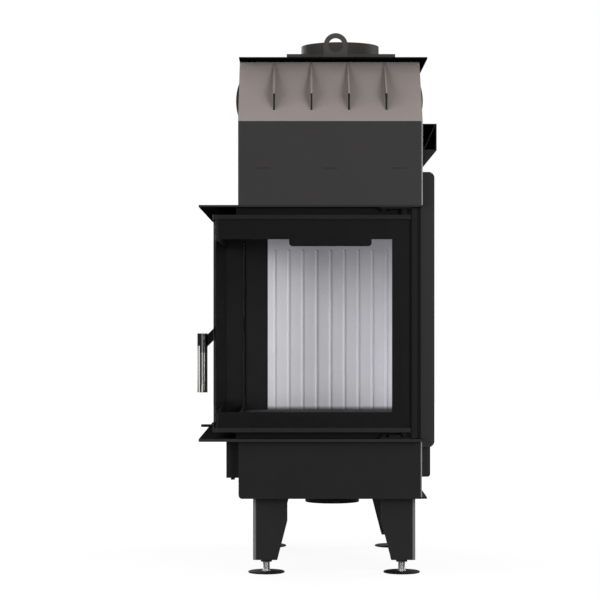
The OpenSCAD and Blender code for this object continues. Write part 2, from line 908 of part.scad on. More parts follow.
// Rear pieces
module casing_outline() {
    square([casing_d - casing_r, casing_h]);
    translate([0, casing_r]) square([casing_d, casing_h - 2 * casing_r]);
    for (z = [casing_r, casing_h - casing_r])
        translate([casing_d - casing_r, z]) circle(casing_r, $fn = small_fn);
}

module rear_casing() {
    color([0.2, 0.19, 0.19])
    difference() {
        translate([0, rear_y, casing_z]) along_x(-side_x, side_x) casing_outline();
        block([casing_t - side_x, rear_y - over, casing_z + casing_t],
            [side_x - casing_t, rear_y + casing_d - casing_r, casing_z + casing_h - casing_t]);
    }
}

module lower_rear_duct() {
    color([0.2, 0.19, 0.19])
    translate([0, rear_y, casing_z - duct_h])
    difference() {
        along_x(-duct_w / 2, duct_w / 2) {
            square([duct_d - duct_r, duct_h]);
            translate([0, duct_r]) square([duct_d, duct_h - duct_r]);
            translate([duct_d - duct_r, duct_r]) circle(duct_r, $fn = small_fn);
        }
        block([casing_t - duct_w / 2, -over, casing_t],
            [duct_w / 2 - casing_t, duct_d - duct_r, duct_h + over]);
    }
}

module rear_channel() {
    color([0.12, 0.12, 0.12])
    difference() {
        block([-channel_w / 2, rear_y, box_z + channel_z],
            [channel_w / 2, rear_y + channel_d, box_z + channel_z + channel_h]);
        block([-channel_w / 2 - over, rear_y + channel_t, box_z + channel_z + channel_t],
            [channel_w / 2 + over, rear_y + channel_d - channel_t,
            box_z + channel_z + channel_h - channel_t]);
    }
}

// A slanting strut all along the channel, and gussets under it
module channel_braces() {
    color([0.24, 0.2, 0.15])
    translate([0, rear_y, box_z + channel_z]) {
        along_x(-channel_w / 2, channel_w / 2)
            polygon([[channel_t, channel_t], [2 * channel_t, channel_t],
                [channel_d - channel_t, channel_h - channel_t],
                [channel_d - 2 * channel_t, channel_h - channel_t]]);
        for (x = [-channel_w / 2, -gusset_t / 2, channel_w / 2 - gusset_t])
            along_x(x, x + gusset_t) polygon([[0, 0], [0, -gusset_h], [channel_d, 0]]);
    }
}

// Legs
module each_leg() {
    for (left = [0, 1])
        for (side = [-1, 1])
            mirror([left, 0, 0])
            translate([leg_x, leg_y + side * leg_half, 0])
            mirror([1, 0, 0]) mirror([0, max(side, 0), 0])
            children();
}

module leg_bolt_holes() {
    for (p = leg_bolt_places)
        rod_z(p[0], p[1], base_z - leg_t - over, base_z + sheet_t + over,
            (leg_bolt_d + hole_fit) / 2, small_fn);
}

// A leg with its outer corner at the origin
module leg() {
    difference() {
        union() {
            translate([0, 0, leg_z])
                linear_extrude(base_z - leg_z)
                difference() {
                    bent_square(leg_w, leg_bend_r);
                    translate([leg_t, leg_t]) bent_square(leg_w, leg_bend_r - leg_t);
                }
            translate([0, 0, base_z - leg_t]) linear_extrude(leg_t) bent_square(leg_w, leg_bend_r);
            translate([0, 0, leg_z]) linear_extrude(leg_t) bent_square(leg_foot_w, leg_bend_r);
        }
        along_y(-over, leg_w + over) leg_taper();
        along_x(-over, leg_w + over) leg_taper();
        rod_z(stem_inset, stem_inset, leg_z - over, leg_z + leg_t + over, (stem_d + hole_fit) / 2);
        leg_bolt_holes();
    }
}

module leg_taper() {
    polygon([[leg_foot_w, leg_z - over], [leg_foot_w, leg_z], [leg_w, leg_taper_z],
        [leg_w + over, leg_taper_z], [leg_w + over, leg_z - over]]);
}

module legs() {
    color([0.16, 0.16, 0.17])
    each_leg() leg();
}

module nut(z0, z1) {
    difference() {
        translate([stem_inset, stem_inset, z0]) cylinder(h = z1 - z0, r = nut_r, $fn = nut_fn);
        rod_z(stem_inset, stem_inset, z0 - over, z1 + over, stem_hole_r);
    }
}

module leg_nuts() {
    color([0.3, 0.3, 0.3])
    each_leg() {
        nut(leg_z - lock_nut_t, leg_z);
        nut(leg_z + leg_t, leg_z + leg_t + weld_nut_t);
    }
}

module leg_bolts() {
    color([0.3, 0.3, 0.3])
    each_leg()
        for (p = leg_bolt_places) {
            rod_z(p[0], p[1], base_z - leg_t - bolt_head_h, base_z + sheet_t + bolt_head_h,
                leg_bolt_d / 2, small_fn);
            for (z = [base_z - leg_t - bolt_head_h, base_z + sheet_t])
                translate([p[0], p[1], z]) cylinder(h = bolt_head_h, r = bolt_head_d / 2, $fn = nut_fn);
        }
}

module foot(sx, sy) {
    color([0.3, 0.3, 0.31])
    translate([sx * stem_x, leg_y + sy * stem_y, 0]) {
        cylinder(h = pad_t, r = pad_d / 2, $fn = round_fn);
        translate([0, 0, pad_t]) cylinder(h = pad_boss_h, r = pad_boss_d / 2, $fn = round_fn);
        translate([0, 0, pad_t]) cylinder(h = stem_l, r = stem_d / 2, $fn = round_fn);
    }
}

module front_left_foot() foot(-1, -1);
module front_right_foot() foot(1, -1);
module rear_left_foot() foot(-1, 1);
module rear_right_foot() foot(1, 1);

// Hinges: the lower one stands on the bottom plate, the upper one hangs under the top plate
module hinge_part(plate_z, up, door_face, pin_end) {
    face = plate_z + up * hinge_t;
    difference() {
        block([side_x, hinge_y - hinge_l + hinge_back, min(plate_z, face)],
            [half_w - hinge_edge, hinge_y + hinge_back, max(plate_z, face)]);
        hinge_screw(min(plate_z, face) - over, max(plate_z, face) + over);
    }
    rod_z(hinge_x, hinge_y, min(face, door_face), max(face, door_face), hinge_collar_d / 2);
    rod_z(hinge_x, hinge_y, min(plate_z, pin_end), max(plate_z, pin_end), hinge_pin_d / 2);
}

module lower_hinge() {
    color([0.3, 0.3, 0.3])
    {
        hinge_part(shelf_z, 1, door_z - slide_gap, glass_z + pin_grip);
        block([hinge_x - hinge_collar_d / 2, hinge_y - hinge_collar_d / 2 - hinge_block_l, shelf_z + hinge_t],
            [half_w - 2 * hinge_edge, hinge_y - hinge_collar_d / 2, shelf_z + hinge_t + hinge_block_t]);
    }
}

module upper_hinge() {
    color([0.3, 0.3, 0.3])
    hinge_part(top_plate_z, -1, door_top + slide_gap, glass_top - pin_grip);
}

// Hinge screws and the screw heads under the air box
module fixing_screws() {
    color([0.35, 0.35, 0.35])
    {
        hinge_screw(base_top, shelf_z + hinge_t + over);
        hinge_screw(shelf_z + hinge_t, shelf_z + hinge_t + bolt_head_h, hinge_screw_d);
        hinge_screw(top_plate_z - hinge_t - over, box_z);
        hinge_screw(top_plate_z - hinge_t - bolt_head_h, top_plate_z - hinge_t, hinge_screw_d);
        both_sides()
            rod_z(air_box_w / 2 - 2 * air_box_nub_d, front_y - air_box_d / 2,
                air_box_z - air_box_nub_h, air_box_z, air_box_nub_d / 2, small_fn);
    }
}

// The keeper's mouth is open to the front and upwards
module latch_keeper() {
    color([0.35, 0.35, 0.35])
    along_y(front_y - frame_t - keeper_t, front_y - frame_t) {
        translate([keeper_gap - half_w, shaft_height - keeper_h])
            square([shaft_x - cam_l - 2 * keeper_gap + half_w, 2 * keeper_h]);
        translate([keeper_gap - half_w, shaft_height - keeper_h])
            square([shaft_x - cam_l - keeper_gap + half_w - keeper_gap + keeper_lip,
                keeper_h - cam_h / 2 - hole_fit]);
    }
}

// Door outline seen from above, set in by a distance, with its outer corner rounded
module corner_area(inset, r, far_x, rear) {
    difference() {
        translate([far_x, door_y + inset]) square([door_x - inset - far_x, rear - door_y - inset]);
        translate([door_x - inset - r, door_y + inset]) square(r);
    }
    translate([door_x - inset - r, door_y + inset + r]) circle(r, $fn = small_fn);
}

// A band of the door outline between two distances from its outer faces
module corner_band(inset, t, r, far_x, rear) {
    difference() {
        corner_area(inset, r, far_x, rear);
        corner_area(inset + t, r - t, far_x - over, rear + over);
    }
}

module door_glass() {
    color([0.2, 0.2, 0.22, 0.5])
    translate([0, 0, glass_z - glass_groove])
        linear_extrude(glass_top - glass_z + 2 * glass_groove)
        corner_band(glass_setback, glass_t, glass_bend_r, glass_far_x, door_rear_y);
}

module glass_enamel() {
    color([0.08, 0.08, 0.08])
    difference() {
        translate([0, 0, glass_z])
            linear_extrude(glass_top - glass_z)
            corner_band(enamel_set, enamel_t, glass_bend_r - glass_t, latch_x, door_rear_y);
        difference() {
            block([latch_x - over, door_y, glass_z + enamel_low],
                [door_x, door_rear_y - enamel_end, glass_top - enamel_top]);
            along_x(stile_x, door_x + over)
                translate([body_y - tab_w / 2, glass_top - enamel_top - tab_h]) {
                    translate([tab_r, 0]) square([tab_w - 2 * tab_r, tab_h + over]);
                    translate([0, tab_r]) square([tab_w, tab_h - tab_r + over]);
                    for (y = [tab_r, tab_w - tab_r]) translate([y, tab_r]) circle(tab_r, $fn = small_fn);
                }
        }
    }
}

// Rails seen from above: flat bars round the corner, with a rounded nose at the hinge
module rail_area() {
    difference() {
        corner_area(0, rail_bend_r, door_far_x, door_rear_y);
        translate([door_far_x - over, door_in_y])
            square([door_in_x - door_far_x + over, door_rear_y - door_in_y + over]);
        translate([door_in_x, door_rear_y - nose_r]) square(nose_r);
    }
    translate([hinge_x, door_rear_y - nose_r]) circle(nose_r, $fn = round_fn);
}

module glass_channel(z) {
    translate([0, 0, z])
        linear_extrude(glass_groove + groove_fit + over)
        corner_band(glass_setback - groove_fit, glass_t + 2 * groove_fit, glass_bend_r + groove_fit,
            glass_far_x - groove_fit, door_rear_y + over);
}

module door_top_rail() {
    color([0.12, 0.12, 0.12])
    difference() {
        translate([0, 0, glass_top]) linear_extrude(rail_h) rail_area();
        glass_channel(glass_top - over);
        rod_z(hinge_x, hinge_y, glass_top - over, door_top + over, pin_hole_r);
    }
}

module door_bottom_rail() {
    color([0.12, 0.12, 0.12])
    difference() {
        translate([0, 0, door_z]) linear_extrude(rail_h) rail_area();
        glass_channel(glass_z - glass_groove - groove_fit);
        rod_z(hinge_x, hinge_y, door_z - over, glass_z + over, pin_hole_r);
    }
}

module latch_stile() {
    color([0.12, 0.12, 0.12])
    difference() {
        block([door_far_x, door_y, glass_z], [latch_x, door_in_y, glass_top]);
        block([glass_far_x - groove_fit, door_y + glass_setback - groove_fit, glass_z - over],
            [latch_x + over, door_y + enamel_set + groove_fit, glass_top + over]);
        rod_y(shaft_x, shaft_height, door_y - over, door_in_y + over, shaft_d / 2 + running_fit);
    }
}

module hinge_stile() {
    color([0.12, 0.12, 0.12])
    difference() {
        translate([0, 0, glass_z])
            linear_extrude(glass_top - glass_z) {
                translate([door_in_x, stile_y]) square([stile_x - door_in_x, hinge_stile_w - nose_r]);
                translate([hinge_x, door_rear_y - nose_r]) square([stile_x - hinge_x, nose_r]);
                intersection() {
                    translate([hinge_x, door_rear_y - nose_r]) circle(nose_r, $fn = round_fn);
                    translate([door_in_x, stile_y]) square([stile_x - door_in_x, hinge_stile_w]);
                }
            }
        rod_z(hinge_x, hinge_y, glass_z - over, glass_z + pin_grip + hole_fit, pin_hole_r);
        rod_z(hinge_x, hinge_y, glass_top - pin_grip - hole_fit, glass_top + over, pin_hole_r);
    }
}

// Rope seal on the door's inner faces
module seal_area() {
    difference() {
        translate([latch_x - seal_w, door_in_y])
            square([door_in_x - latch_x + seal_w, stile_y + seal_w - door_in_y]);
        translate([latch_x - seal_w - over, door_in_y + seal_t])
            square([door_in_x - seal_t - latch_x + seal_w + over, door_rear_y - door_in_y]);
    }
}

module door_seal() {
    color([0.45, 0.45, 0.42])
    {
        for (z = [door_z + (rail_h - seal_w) / 2, door_top - (rail_h + seal_w) / 2])
            translate([0, 0, z]) linear_extrude(seal_w) seal_area();
        block([latch_x - seal_w, door_in_y, door_z + (rail_h - seal_w) / 2],
            [latch_x, door_in_y + seal_t, door_top - (rail_h - seal_w) / 2]);
        block([door_in_x - seal_t, stile_y, door_z + (rail_h - seal_w) / 2],
            [door_in_x, stile_y + seal_w, door_top - (rail_h - seal_w) / 2]);
    }
}

// A clip with its foot at the origin, its upright towards -X, standing up from the rail
module glass_clip() {
    block([0, -clip_w / 2, 0], [clip_reach, clip_w / 2, clip_t]);
    block([0, -clip_w / 2, 0], [clip_t, clip_w / 2, clip_reach]);
    rod_z(clip_reach / 2 + clip_t, 0, clip_t, 2 * clip_t, clip_screw_d / 2, small_fn);
}

module clip_places() {
    for (share = clip_front_shares)
        translate([latch_x + (door_in_x - latch_x) * share, door_y + enamel_set + enamel_t, 0])
            rotate([0, 0, 90]) children();
    for (share = clip_side_shares)
        translate([door_x - enamel_set - enamel_t, door_in_y + (stile_y - door_in_y) * share, 0])
            mirror([1, 0, 0]) children();
}

module glass_clips() {
    color([0.35, 0.35, 0.35])
    clip_places() {
        translate([0, 0, glass_z]) glass_clip();
        translate([0, 0, glass_top]) mirror([0, 0, 1]) glass_clip();
    }
}

// Handle
module handle_shaft() {
    color([0.4, 0.4, 0.4])
    {
        rod_y(shaft_x, shaft_height, door_y - shaft_out, shaft_end_y, shaft_d / 2);
        rod_y(shaft_x, shaft_height, door_y - shaft_out, door_y - slide_gap, shaft_collar_d / 2);
    }
}

module handle_arm() {
    color([0.3, 0.3, 0.3])
    difference() {
        along_x(shaft_x - arm_t / 2, shaft_x + arm_t / 2)
            polygon([[door_y - shaft_out, shaft_height - shaft_out - arm_h / 2],
                [door_y - shaft_out, shaft_height - shaft_out + arm_h / 2],
                [tube_y, shaft_height - handle_out + arm_h / 2],
                [tube_y, shaft_height - handle_out - arm_h / 2]]);
        rod_z(shaft_x, tube_y, tube_z, tube_top + over, handle_d / 2);
    }
}

module handle_tube() {
    color([0.7, 0.7, 0.7])
    difference() {
        rod_z(shaft_x, tube_y, tube_z, tube_top - sleeve_l, handle_d / 2);
        rod_z(shaft_x, tube_y, tube_z - over, tube_top, handle_d / 2 - handle_wall);
    }
    color([0.7, 0.7, 0.7])
    block([shaft_x - guard_w / 2, guard_y - guard_t, tube_z],
        [shaft_x + guard_w / 2, guard_y, tube_top - guard_block_h]);
}

module handle_ends() {
    color([0.1, 0.1, 0.1])
    {
        rod_z(shaft_x, tube_y, tube_top - sleeve_l, tube_top, handle_d / 2);
        block([shaft_x - guard_w / 2, guard_y - guard_t, tube_top - guard_block_h],
            [shaft_x + guard_w / 2, tube_y, tube_top]);
        rod_z(shaft_x, tube_y, tube_top - sleeve_l - plug_l, tube_top, handle_d / 2 - handle_wall);
        rod_z(shaft_x, tube_y, tube_z, tube_z + plug_l, handle_d / 2 - handle_wall);
    }
}

module latch_cam() {
    color([0.35, 0.35, 0.35])
    difference() {
        union() {
            rod_y(shaft_x, shaft_height, door_in_y + slide_gap, shaft_end_y, cam_hub_d / 2);
            block([shaft_x - cam_l, door_in_y + slide_gap, shaft_height - cam_h / 2],
                [shaft_x, shaft_end_y, shaft_height + cam_h / 2]);
        }
        rod_y(shaft_x, shaft_height, door_in_y, shaft_end_y + over, shaft_d / 2);
    }
}

// Air control
module air_lever() {
    color([0.2, 0.2, 0.2])
    difference() {
        union() {
            block([lever_x - lever_w / 2, shelf_y - lever_reach + lever_w / 2, lever_z],
                [lever_x + lever_w / 2, front_y - frame_t - slide_gap, lever_z + lever_t]);
            rod_z(lever_x, shelf_y - lever_reach + lever_w / 2, lever_z, lever_z + lever_t,
                lever_w / 2, small_fn);
        }
        rod_z(lever_x, pin_y, lever_z - over, lever_z + lever_t + over, lever_pin_d / 2, small_fn);
    }
}

module air_shutter() {
    color([0.3, 0.3, 0.3])
    {
        block([lever_x - shutter_half_w, front_y - air_box_d + air_box_t + slide_gap, shutter_z],
            [lever_x + shutter_half_w, pin_y + (lever_pin_d + hole_fit) / 2, shutter_z + shutter_t]);
        rod_z(lever_x, pin_y, shutter_z, lever_z + lever_t, lever_pin_d / 2, small_fn);
    }
}

base_pan();
base_side_panels();
base_back_panel();
air_spigot();
front_air_box();
bottom_plate();
top_plate();
front_frame();
side_frame();
rear_post();
firebox_back();
firebox_left_wall();
front_channel();
lining_back();
lining_left();
lining_floor();
lower_baffle();
upper_baffle();
baffle_rests();
air_wash_deflector();
upper_front_panel();
upper_side_panels();
upper_back_panel();
hood();
hood_side_fins();
hood_end_fins();
top_cover();
flue_plinth();
flue_collar();
lifting_lugs();
rear_casing();
lower_rear_duct();
rear_channel();
channel_braces();
legs();
leg_nuts();
leg_bolts();
lower_hinge();
upper_hinge();
fixing_screws();
latch_keeper();
door_glass();
glass_enamel();
door_top_rail();
door_bottom_rail();
latch_stile();
hinge_stile();
door_seal();
glass_clips();
handle_shaft();
handle_arm();
handle_tube();
handle_ends();
latch_cam();
air_lever();
air_shutter();
front_left_foot();
front_right_foot();
rear_left_foot();
rear_right_foot();
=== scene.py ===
import math

import bmesh
import bpy
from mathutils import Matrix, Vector


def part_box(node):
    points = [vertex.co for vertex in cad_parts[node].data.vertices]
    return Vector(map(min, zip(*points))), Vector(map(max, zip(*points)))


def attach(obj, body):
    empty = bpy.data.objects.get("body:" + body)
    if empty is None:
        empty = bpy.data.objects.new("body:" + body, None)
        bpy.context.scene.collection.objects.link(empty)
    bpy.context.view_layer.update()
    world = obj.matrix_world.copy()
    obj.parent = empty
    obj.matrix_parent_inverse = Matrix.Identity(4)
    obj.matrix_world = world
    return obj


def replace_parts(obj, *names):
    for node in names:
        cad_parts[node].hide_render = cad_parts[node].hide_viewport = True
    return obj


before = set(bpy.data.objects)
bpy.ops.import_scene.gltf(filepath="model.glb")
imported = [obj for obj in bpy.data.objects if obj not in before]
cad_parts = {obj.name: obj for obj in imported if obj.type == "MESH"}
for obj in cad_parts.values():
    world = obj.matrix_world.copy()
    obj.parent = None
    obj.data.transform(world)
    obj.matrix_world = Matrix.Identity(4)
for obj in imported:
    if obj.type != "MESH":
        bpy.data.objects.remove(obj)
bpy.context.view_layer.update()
print("frame loaded")

mm = 0.001


# One socket of a node, with the sums that the finishes and patterns use
class Wire:
    def __init__(self, graph, socket):
        self.graph, self.socket = graph, socket

    def sum(self, operation, *terms):
        return self.graph.maths(operation, *terms)

    def __add__(self, other):
        return self.sum("ADD", self, other)

    def __sub__(self, other):
        return self.sum("SUBTRACT", self, other)

    def __rsub__(self, other):
        return self.sum("SUBTRACT", other, self)

    def __mul__(self, other):
        return self.sum("MULTIPLY", self, other)

    def __truediv__(self, other):
        return self.sum("DIVIDE", self, other)

    def __lt__(self, other):
        return self.sum("LESS_THAN", self, other)

    def __gt__(self, other):
        return self.sum("GREATER_THAN", self, other)


# A node tree, of a material or of Geometry Nodes
class Graph:
    def __init__(self, tree):
        self.tree = tree

    def add(self, kind, settings=None, sockets=None, out=0):
        node = self.tree.nodes.new(kind)
        for key, value in (settings or {}).items():
            setattr(node, key, value)
        for key, value in (sockets or {}).items():
            if isinstance(value, Wire):
                self.tree.links.new(value.socket, node.inputs[key])
            else:
                node.inputs[key].default_value = value
        return Wire(self, node.outputs[out])

    def blend(self, share, low, high):
        low, high = [v if isinstance(v, Wire) else (*v, 1) for v in (low, high)]
        return self.add("ShaderNodeMix", {"data_type": "RGBA"}, {0: share, 6: low, 7: high}, 2)

    def split(self, vector):
        return [self.add("ShaderNodeSeparateXYZ", None, {0: vector}, i) for i in range(3)]

    def noise(self, where, scale, detail=3.0, rough=0.6):
        sockets = {"Vector": where, "Scale": scale, "Detail": detail, "Roughness": rough}
        return self.add("ShaderNodeTexNoise", None, sockets)

    def between(self, value, low, high, newLow=0.0, newHigh=1.0):
        sockets = {0: value, 1: low, 2: high, 3: newLow, 4: newHigh}
        return self.add("ShaderNodeMapRange", {"clamp": True}, sockets)

    # Most of a noise lies between 0.3 and 0.7; this spreads it over the range asked for
    def spread(self, noise, newLow, newHigh):
        return self.between(noise, 0.3, 0.7, newLow, newHigh)

    def maths(self, operation, *terms):
        return self.add("ShaderNodeMath", {"operation": operation}, dict(enumerate(terms)))

    def vector(self, operation, *terms):
        return self.add("ShaderNodeVectorMath", {"operation": operation}, dict(enumerate(terms)))

    # The number that a vector operation gives, such as a length
    def measure(self, operation, *terms):
        sockets = dict(enumerate(terms))
        return self.add("ShaderNodeVectorMath", {"operation": operation}, sockets, 1)

    def scaled(self, vector, share):
        return self.add("ShaderNodeVectorMath", {"operation": "SCALE"}, {0: vector, "Scale": share})

    def join(self, x, y, z):
        return self.add("ShaderNodeCombineXYZ", None, {0: x, 1: y, 2: z})


def dimmed(colour, share):
    return [part * share for part in colour]


# A material with a principled shader: fixed values are set on it, and wires are fed into it
class Finish(Graph):
    def __init__(self, name, **fixed):
        self.material = bpy.data.materials.new(name)
        self.material.use_nodes = True
        super().__init__(self.material.node_tree)
        self.shader = self.tree.nodes["Principled BSDF"]
        for key, value in fixed.items():
            self.shader.inputs[key.replace("_", " ")].default_value = value
        self.where = self.add("ShaderNodeTexCoord", out=3)
        self.facing = self.add("ShaderNodeNewGeometry", out=1)

    def feed(self, **wires):
        for key, wire in wires.items():
            self.tree.links.new(wire.socket, self.shader.inputs[key.replace("_", " ")])

    def rounded(self, radius):
        return self.add("ShaderNodeBevel", {"samples": 4}, {"Radius": radius})

    # Small relief, on edges that are already rounded or get a radius here, in the shading only
    def relief(self, height, strength, depth, edge=0.0):
        sockets = {"Height": height, "Strength": strength, "Distance": depth}
        if isinstance(edge, Wire):
            sockets["Normal"] = edge
        elif edge:
            sockets["Normal"] = self.rounded(edge)
        self.feed(Normal=self.add("ShaderNodeBump", None, sockets))


# Powder paint: fine grain, soft clouds of darker and paler tone, dust on what looks up, and edges
# painted paler, partly as rubbing and partly as a painted highlight. Undersides, faces that don't
# look up and flat faces can have a tone of their own, which is painted shade, and the curves
# between two upright faces can be painted paler too, as a painted highlight.
powder = {
    "grain": 1400, "grainShade": 0.06, "grainDepth": 0.05 * mm, "clouds": 7, "roughSwing": 0.06,
    "paleDustWearAndHighlight": (0.6, 0.58, 0.56), "dustUp": (0.2, 1.0), "dustClouds": (0.4, 0.8),
    "rubs": 45, "rubPatches": (0.35, 0.65), "rubAndHighlightTurn": (0.04, 0.3), "bendHighlightTurn": (0.1, 0.4),
    "shadedSideUp": (0.1, 0.3), "shadedUnderUp": (-0.2, -0.1), "shadedLevelUp": 0.5}


def powderPaint(name, colour, rough=0.5, gloss=0.05, grain=0.3, cloud=0.1, edge=1.0 * mm,
                dust=0.03, wearAndHighlight=0.02, shadedUnder=None, side=None, shadedLevel=None, bendHighlight=0.0):
    f = Finish(name, Specular_IOR_Level=gloss)
    fine = f.noise(f.where, powder["grain"], 2.0)
    soft = f.noise(f.where, powder["clouds"], 4.0)
    shade = f.spread(soft, 1 - cloud, 1 + cloud)
    shade = shade * f.spread(fine, 1 - powder["grainShade"], 1 + powder["grainShade"])
    across, along, up = f.split(f.facing)
    dusty = f.between(up, *powder["dustUp"]) * f.between(soft, *powder["dustClouds"]) * dust
    edges = f.rounded(edge)
    turning = 1 - f.measure("DOT_PRODUCT", edges, f.facing)
    patches = f.between(f.noise(f.where, powder["rubs"], 4.0), *powder["rubPatches"])
    # Edges paler in patches: partly from rubbing, partly a painted highlight; curves between
    # upright faces paler as a painted highlight
    rubbedAndHighlit = f.between(turning, *powder["rubAndHighlightTurn"]) * patches * wearAndHighlight
    if bendHighlight:
        bendGlint = f.between(f.maths("ABSOLUTE", across * along), *powder["bendHighlightTurn"])
        rubbedAndHighlit = f.maths("MAXIMUM", rubbedAndHighlit, bendGlint * bendHighlight)
    tone = f.scaled(colour, shade)
    # Darker tones for faces that don't look up, for undersides and for flat faces: painted shade
    if side:
        tone = f.blend(f.between(up, *powder["shadedSideUp"]), side, tone)
    if shadedUnder:
        tone = f.blend(f.between(up, *powder["shadedUnderUp"], 1.0, 0.0), tone, shadedUnder)
    if shadedLevel:
        tone = f.blend(f.maths("ABSOLUTE", up) > powder["shadedLevelUp"], tone, shadedLevel)
    f.feed(Base_Color=f.blend(f.maths("MAXIMUM", dusty, rubbedAndHighlit), tone, powder["paleDustWearAndHighlight"]))
    f.feed(Roughness=f.spread(soft, rough - powder["roughSwing"], rough + powder["roughSwing"]))
    f.relief(fine, grain, powder["grainDepth"], edges)
    return f.material


# The same paint with bright uncoated metal on the cut edges that look sideways, partly a painted
# highlight where these edges catch the light
cut = {"gloss": 0.06, "sideways": 0.9, "stains": 60, "stained": 0.7, "clouded": 1.2,
       "metallic": 0.4, "roughSwing": 0.08, "relief": 0.3}


def cutEdgePaint(name, colour, bright, rough=0.5):
    f = Finish(name, Specular_IOR_Level=cut["gloss"])
    fine = f.noise(f.where, powder["grain"], 2.0)
    bareHighlitEdge = f.maths("ABSOLUTE", f.split(f.facing)[0]) > cut["sideways"]
    metal = f.blend(f.noise(f.where, cut["stains"], 4.0), bright, dimmed(bright, cut["stained"]))
    paint = f.blend(fine, colour, dimmed(colour, cut["clouded"]))
    f.feed(Base_Color=f.blend(bareHighlitEdge, paint, metal), Metallic=bareHighlitEdge * cut["metallic"])
    f.feed(Roughness=f.spread(fine, rough - cut["roughSwing"], rough + cut["roughSwing"]))
    f.relief(fine, cut["relief"], powder["grainDepth"])
    return f.material


# Metal with fine lines along one axis
brushed = {"stretch": (1, 1, 0.03), "lines": 2600, "stains": 40, "stained": 0.82,
           "smoother": 0.05, "rougher": 0.07, "relief": 0.2, "depth": 0.03 * mm}


def brushedMetal(name, colour, rough, metallic=1.0, edge=0.4 * mm):
    f = Finish(name, Metallic=metallic)
    sockets = {"Vector": f.where, "Scale": brushed["stretch"]}
    lines = f.noise(f.add("ShaderNodeMapping", None, sockets), brushed["lines"])
    stain = f.noise(f.where, brushed["stains"], 4.0)
    f.feed(Base_Color=f.blend(stain, dimmed(colour, brushed["stained"]), colour))
    f.feed(Roughness=f.spread(lines, rough - brushed["smoother"], rough + brushed["rougher"]))
    f.relief(lines, brushed["relief"], brushed["depth"], edge)
    return f.material


# Zinc plating, dull and slightly cloudy, with a very faint yellow
plating = {"cells": 420, "cellEdge": (0.0, 0.6), "cellShare": 0.25, "cellShade": 0.7,
           "clouds": 90, "yellow": (1, 0.87, 0.62), "yellowClouds": (0.45, 0.8),
           "yellowShare": 0.2, "smoother": 0.07, "rougher": 0.1, "relief": 0.15,
           "depth": 0.03 * mm, "edge": 0.4 * mm}


def zincPlate(name, colour, rough):
    f = Finish(name, Metallic=1.0)
    cells = f.add("ShaderNodeTexVoronoi", None, {"Vector": f.where, "Scale": plating["cells"]})
    cloud = f.noise(f.where, plating["clouds"])
    tinted = [part * share for part, share in zip(colour, plating["yellow"])]
    yellow = f.between(cloud, *plating["yellowClouds"], 0.0, plating["yellowShare"])
    edges = f.between(cells, *plating["cellEdge"], 0.0, plating["cellShare"])
    warm = f.blend(yellow, colour, tinted)
    f.feed(Base_Color=f.blend(edges, warm, dimmed(colour, plating["cellShade"])))
    f.feed(Roughness=f.spread(cloud, rough - plating["smoother"], rough + plating["rougher"]))
    f.relief(cells, plating["relief"], plating["depth"], plating["edge"])
    return f.material


# Pressed lining board: small flakes and pores, and darker towards the bottom where it meets the
# floor
board = {"rough": 0.9, "gloss": 0.2, "flakes": 330, "flakeEdge": (0.0, 0.7),
         "flakeShade": (1.04, 0.95), "pores": 700, "clouds": 9, "cloudShade": (0.97, 1.03),
         "lowDarkening": (0.1, 0.1, 0.1), "flakeRelief": 0.5, "poreRelief": 0.7, "relief": 0.4,
         "depth": 0.2 * mm, "edge": 0.8 * mm}


def liningBoard(name, colour, lowDarkeningHeight=(0.335, 0.343), lowDarkening=0.85):
    f = Finish(name, Roughness=board["rough"], Specular_IOR_Level=board["gloss"])
    flakes = f.add("ShaderNodeTexVoronoi", None, {"Vector": f.where, "Scale": board["flakes"]})
    pores = f.noise(f.where, board["pores"], 4.0, 0.7)
    cloud = f.noise(f.where, board["clouds"], 4.0)
    shade = f.between(flakes, *board["flakeEdge"], *board["flakeShade"])
    shade = shade * f.spread(cloud, *board["cloudShade"])
    # Darker towards the bottom, in a band just above the floor
    dark = f.between(f.split(f.where)[2], *lowDarkeningHeight, lowDarkening, 0.0)
    f.feed(Base_Color=f.blend(dark, f.scaled(colour, shade), board["lowDarkening"]))
    height = flakes * board["flakeRelief"] + pores * board["poreRelief"]
    f.relief(height, board["relief"], board["depth"], board["edge"])
    return f.material


# Glass that turns dark at a flat angle, with ground ends that let no light through
pane = {"gloss": 0.01, "ends": 0.5 * mm, "slantPower": 3.0, "slantRange": (0.0, 0.9), "haze": 5,
        "hazeShade": 1.4, "rough": (0.03, 0.07)}


def clearGlass(name, tint, clear):
    f = Finish(name, Specular_IOR_Level=pane["gloss"])
    haze = f.noise(f.where, pane["haze"])
    slant = f.add("ShaderNodeLayerWeight", None, {"Blend": 0.5}, 1)
    low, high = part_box("door_glass")
    x, y = f.split(f.where)[:2]
    ground = f.maths("MAXIMUM", x < low[0] + pane["ends"], y > high[1] - pane["ends"])
    slanted = f.maths("POWER", slant, pane["slantPower"])
    dark = f.between(slanted, *pane["slantRange"], clear, 1.0)
    f.feed(Alpha=f.maths("MAXIMUM", dark, ground))
    f.feed(Base_Color=f.blend(haze, tint, dimmed(tint, pane["hazeShade"])))
    f.feed(Roughness=f.spread(haze, *pane["rough"]))
    return f.material


# Enamel with slow waves and small specks
enamel = {"gloss": 0.05, "waves": 60, "specks": 900, "speckRange": (0.5, 0.8), "speckShade": 1.2,
          "roughSwing": 0.03, "waveRelief": 0.7, "speckRelief": 0.3, "relief": 0.03,
          "depth": 0.03 * mm}


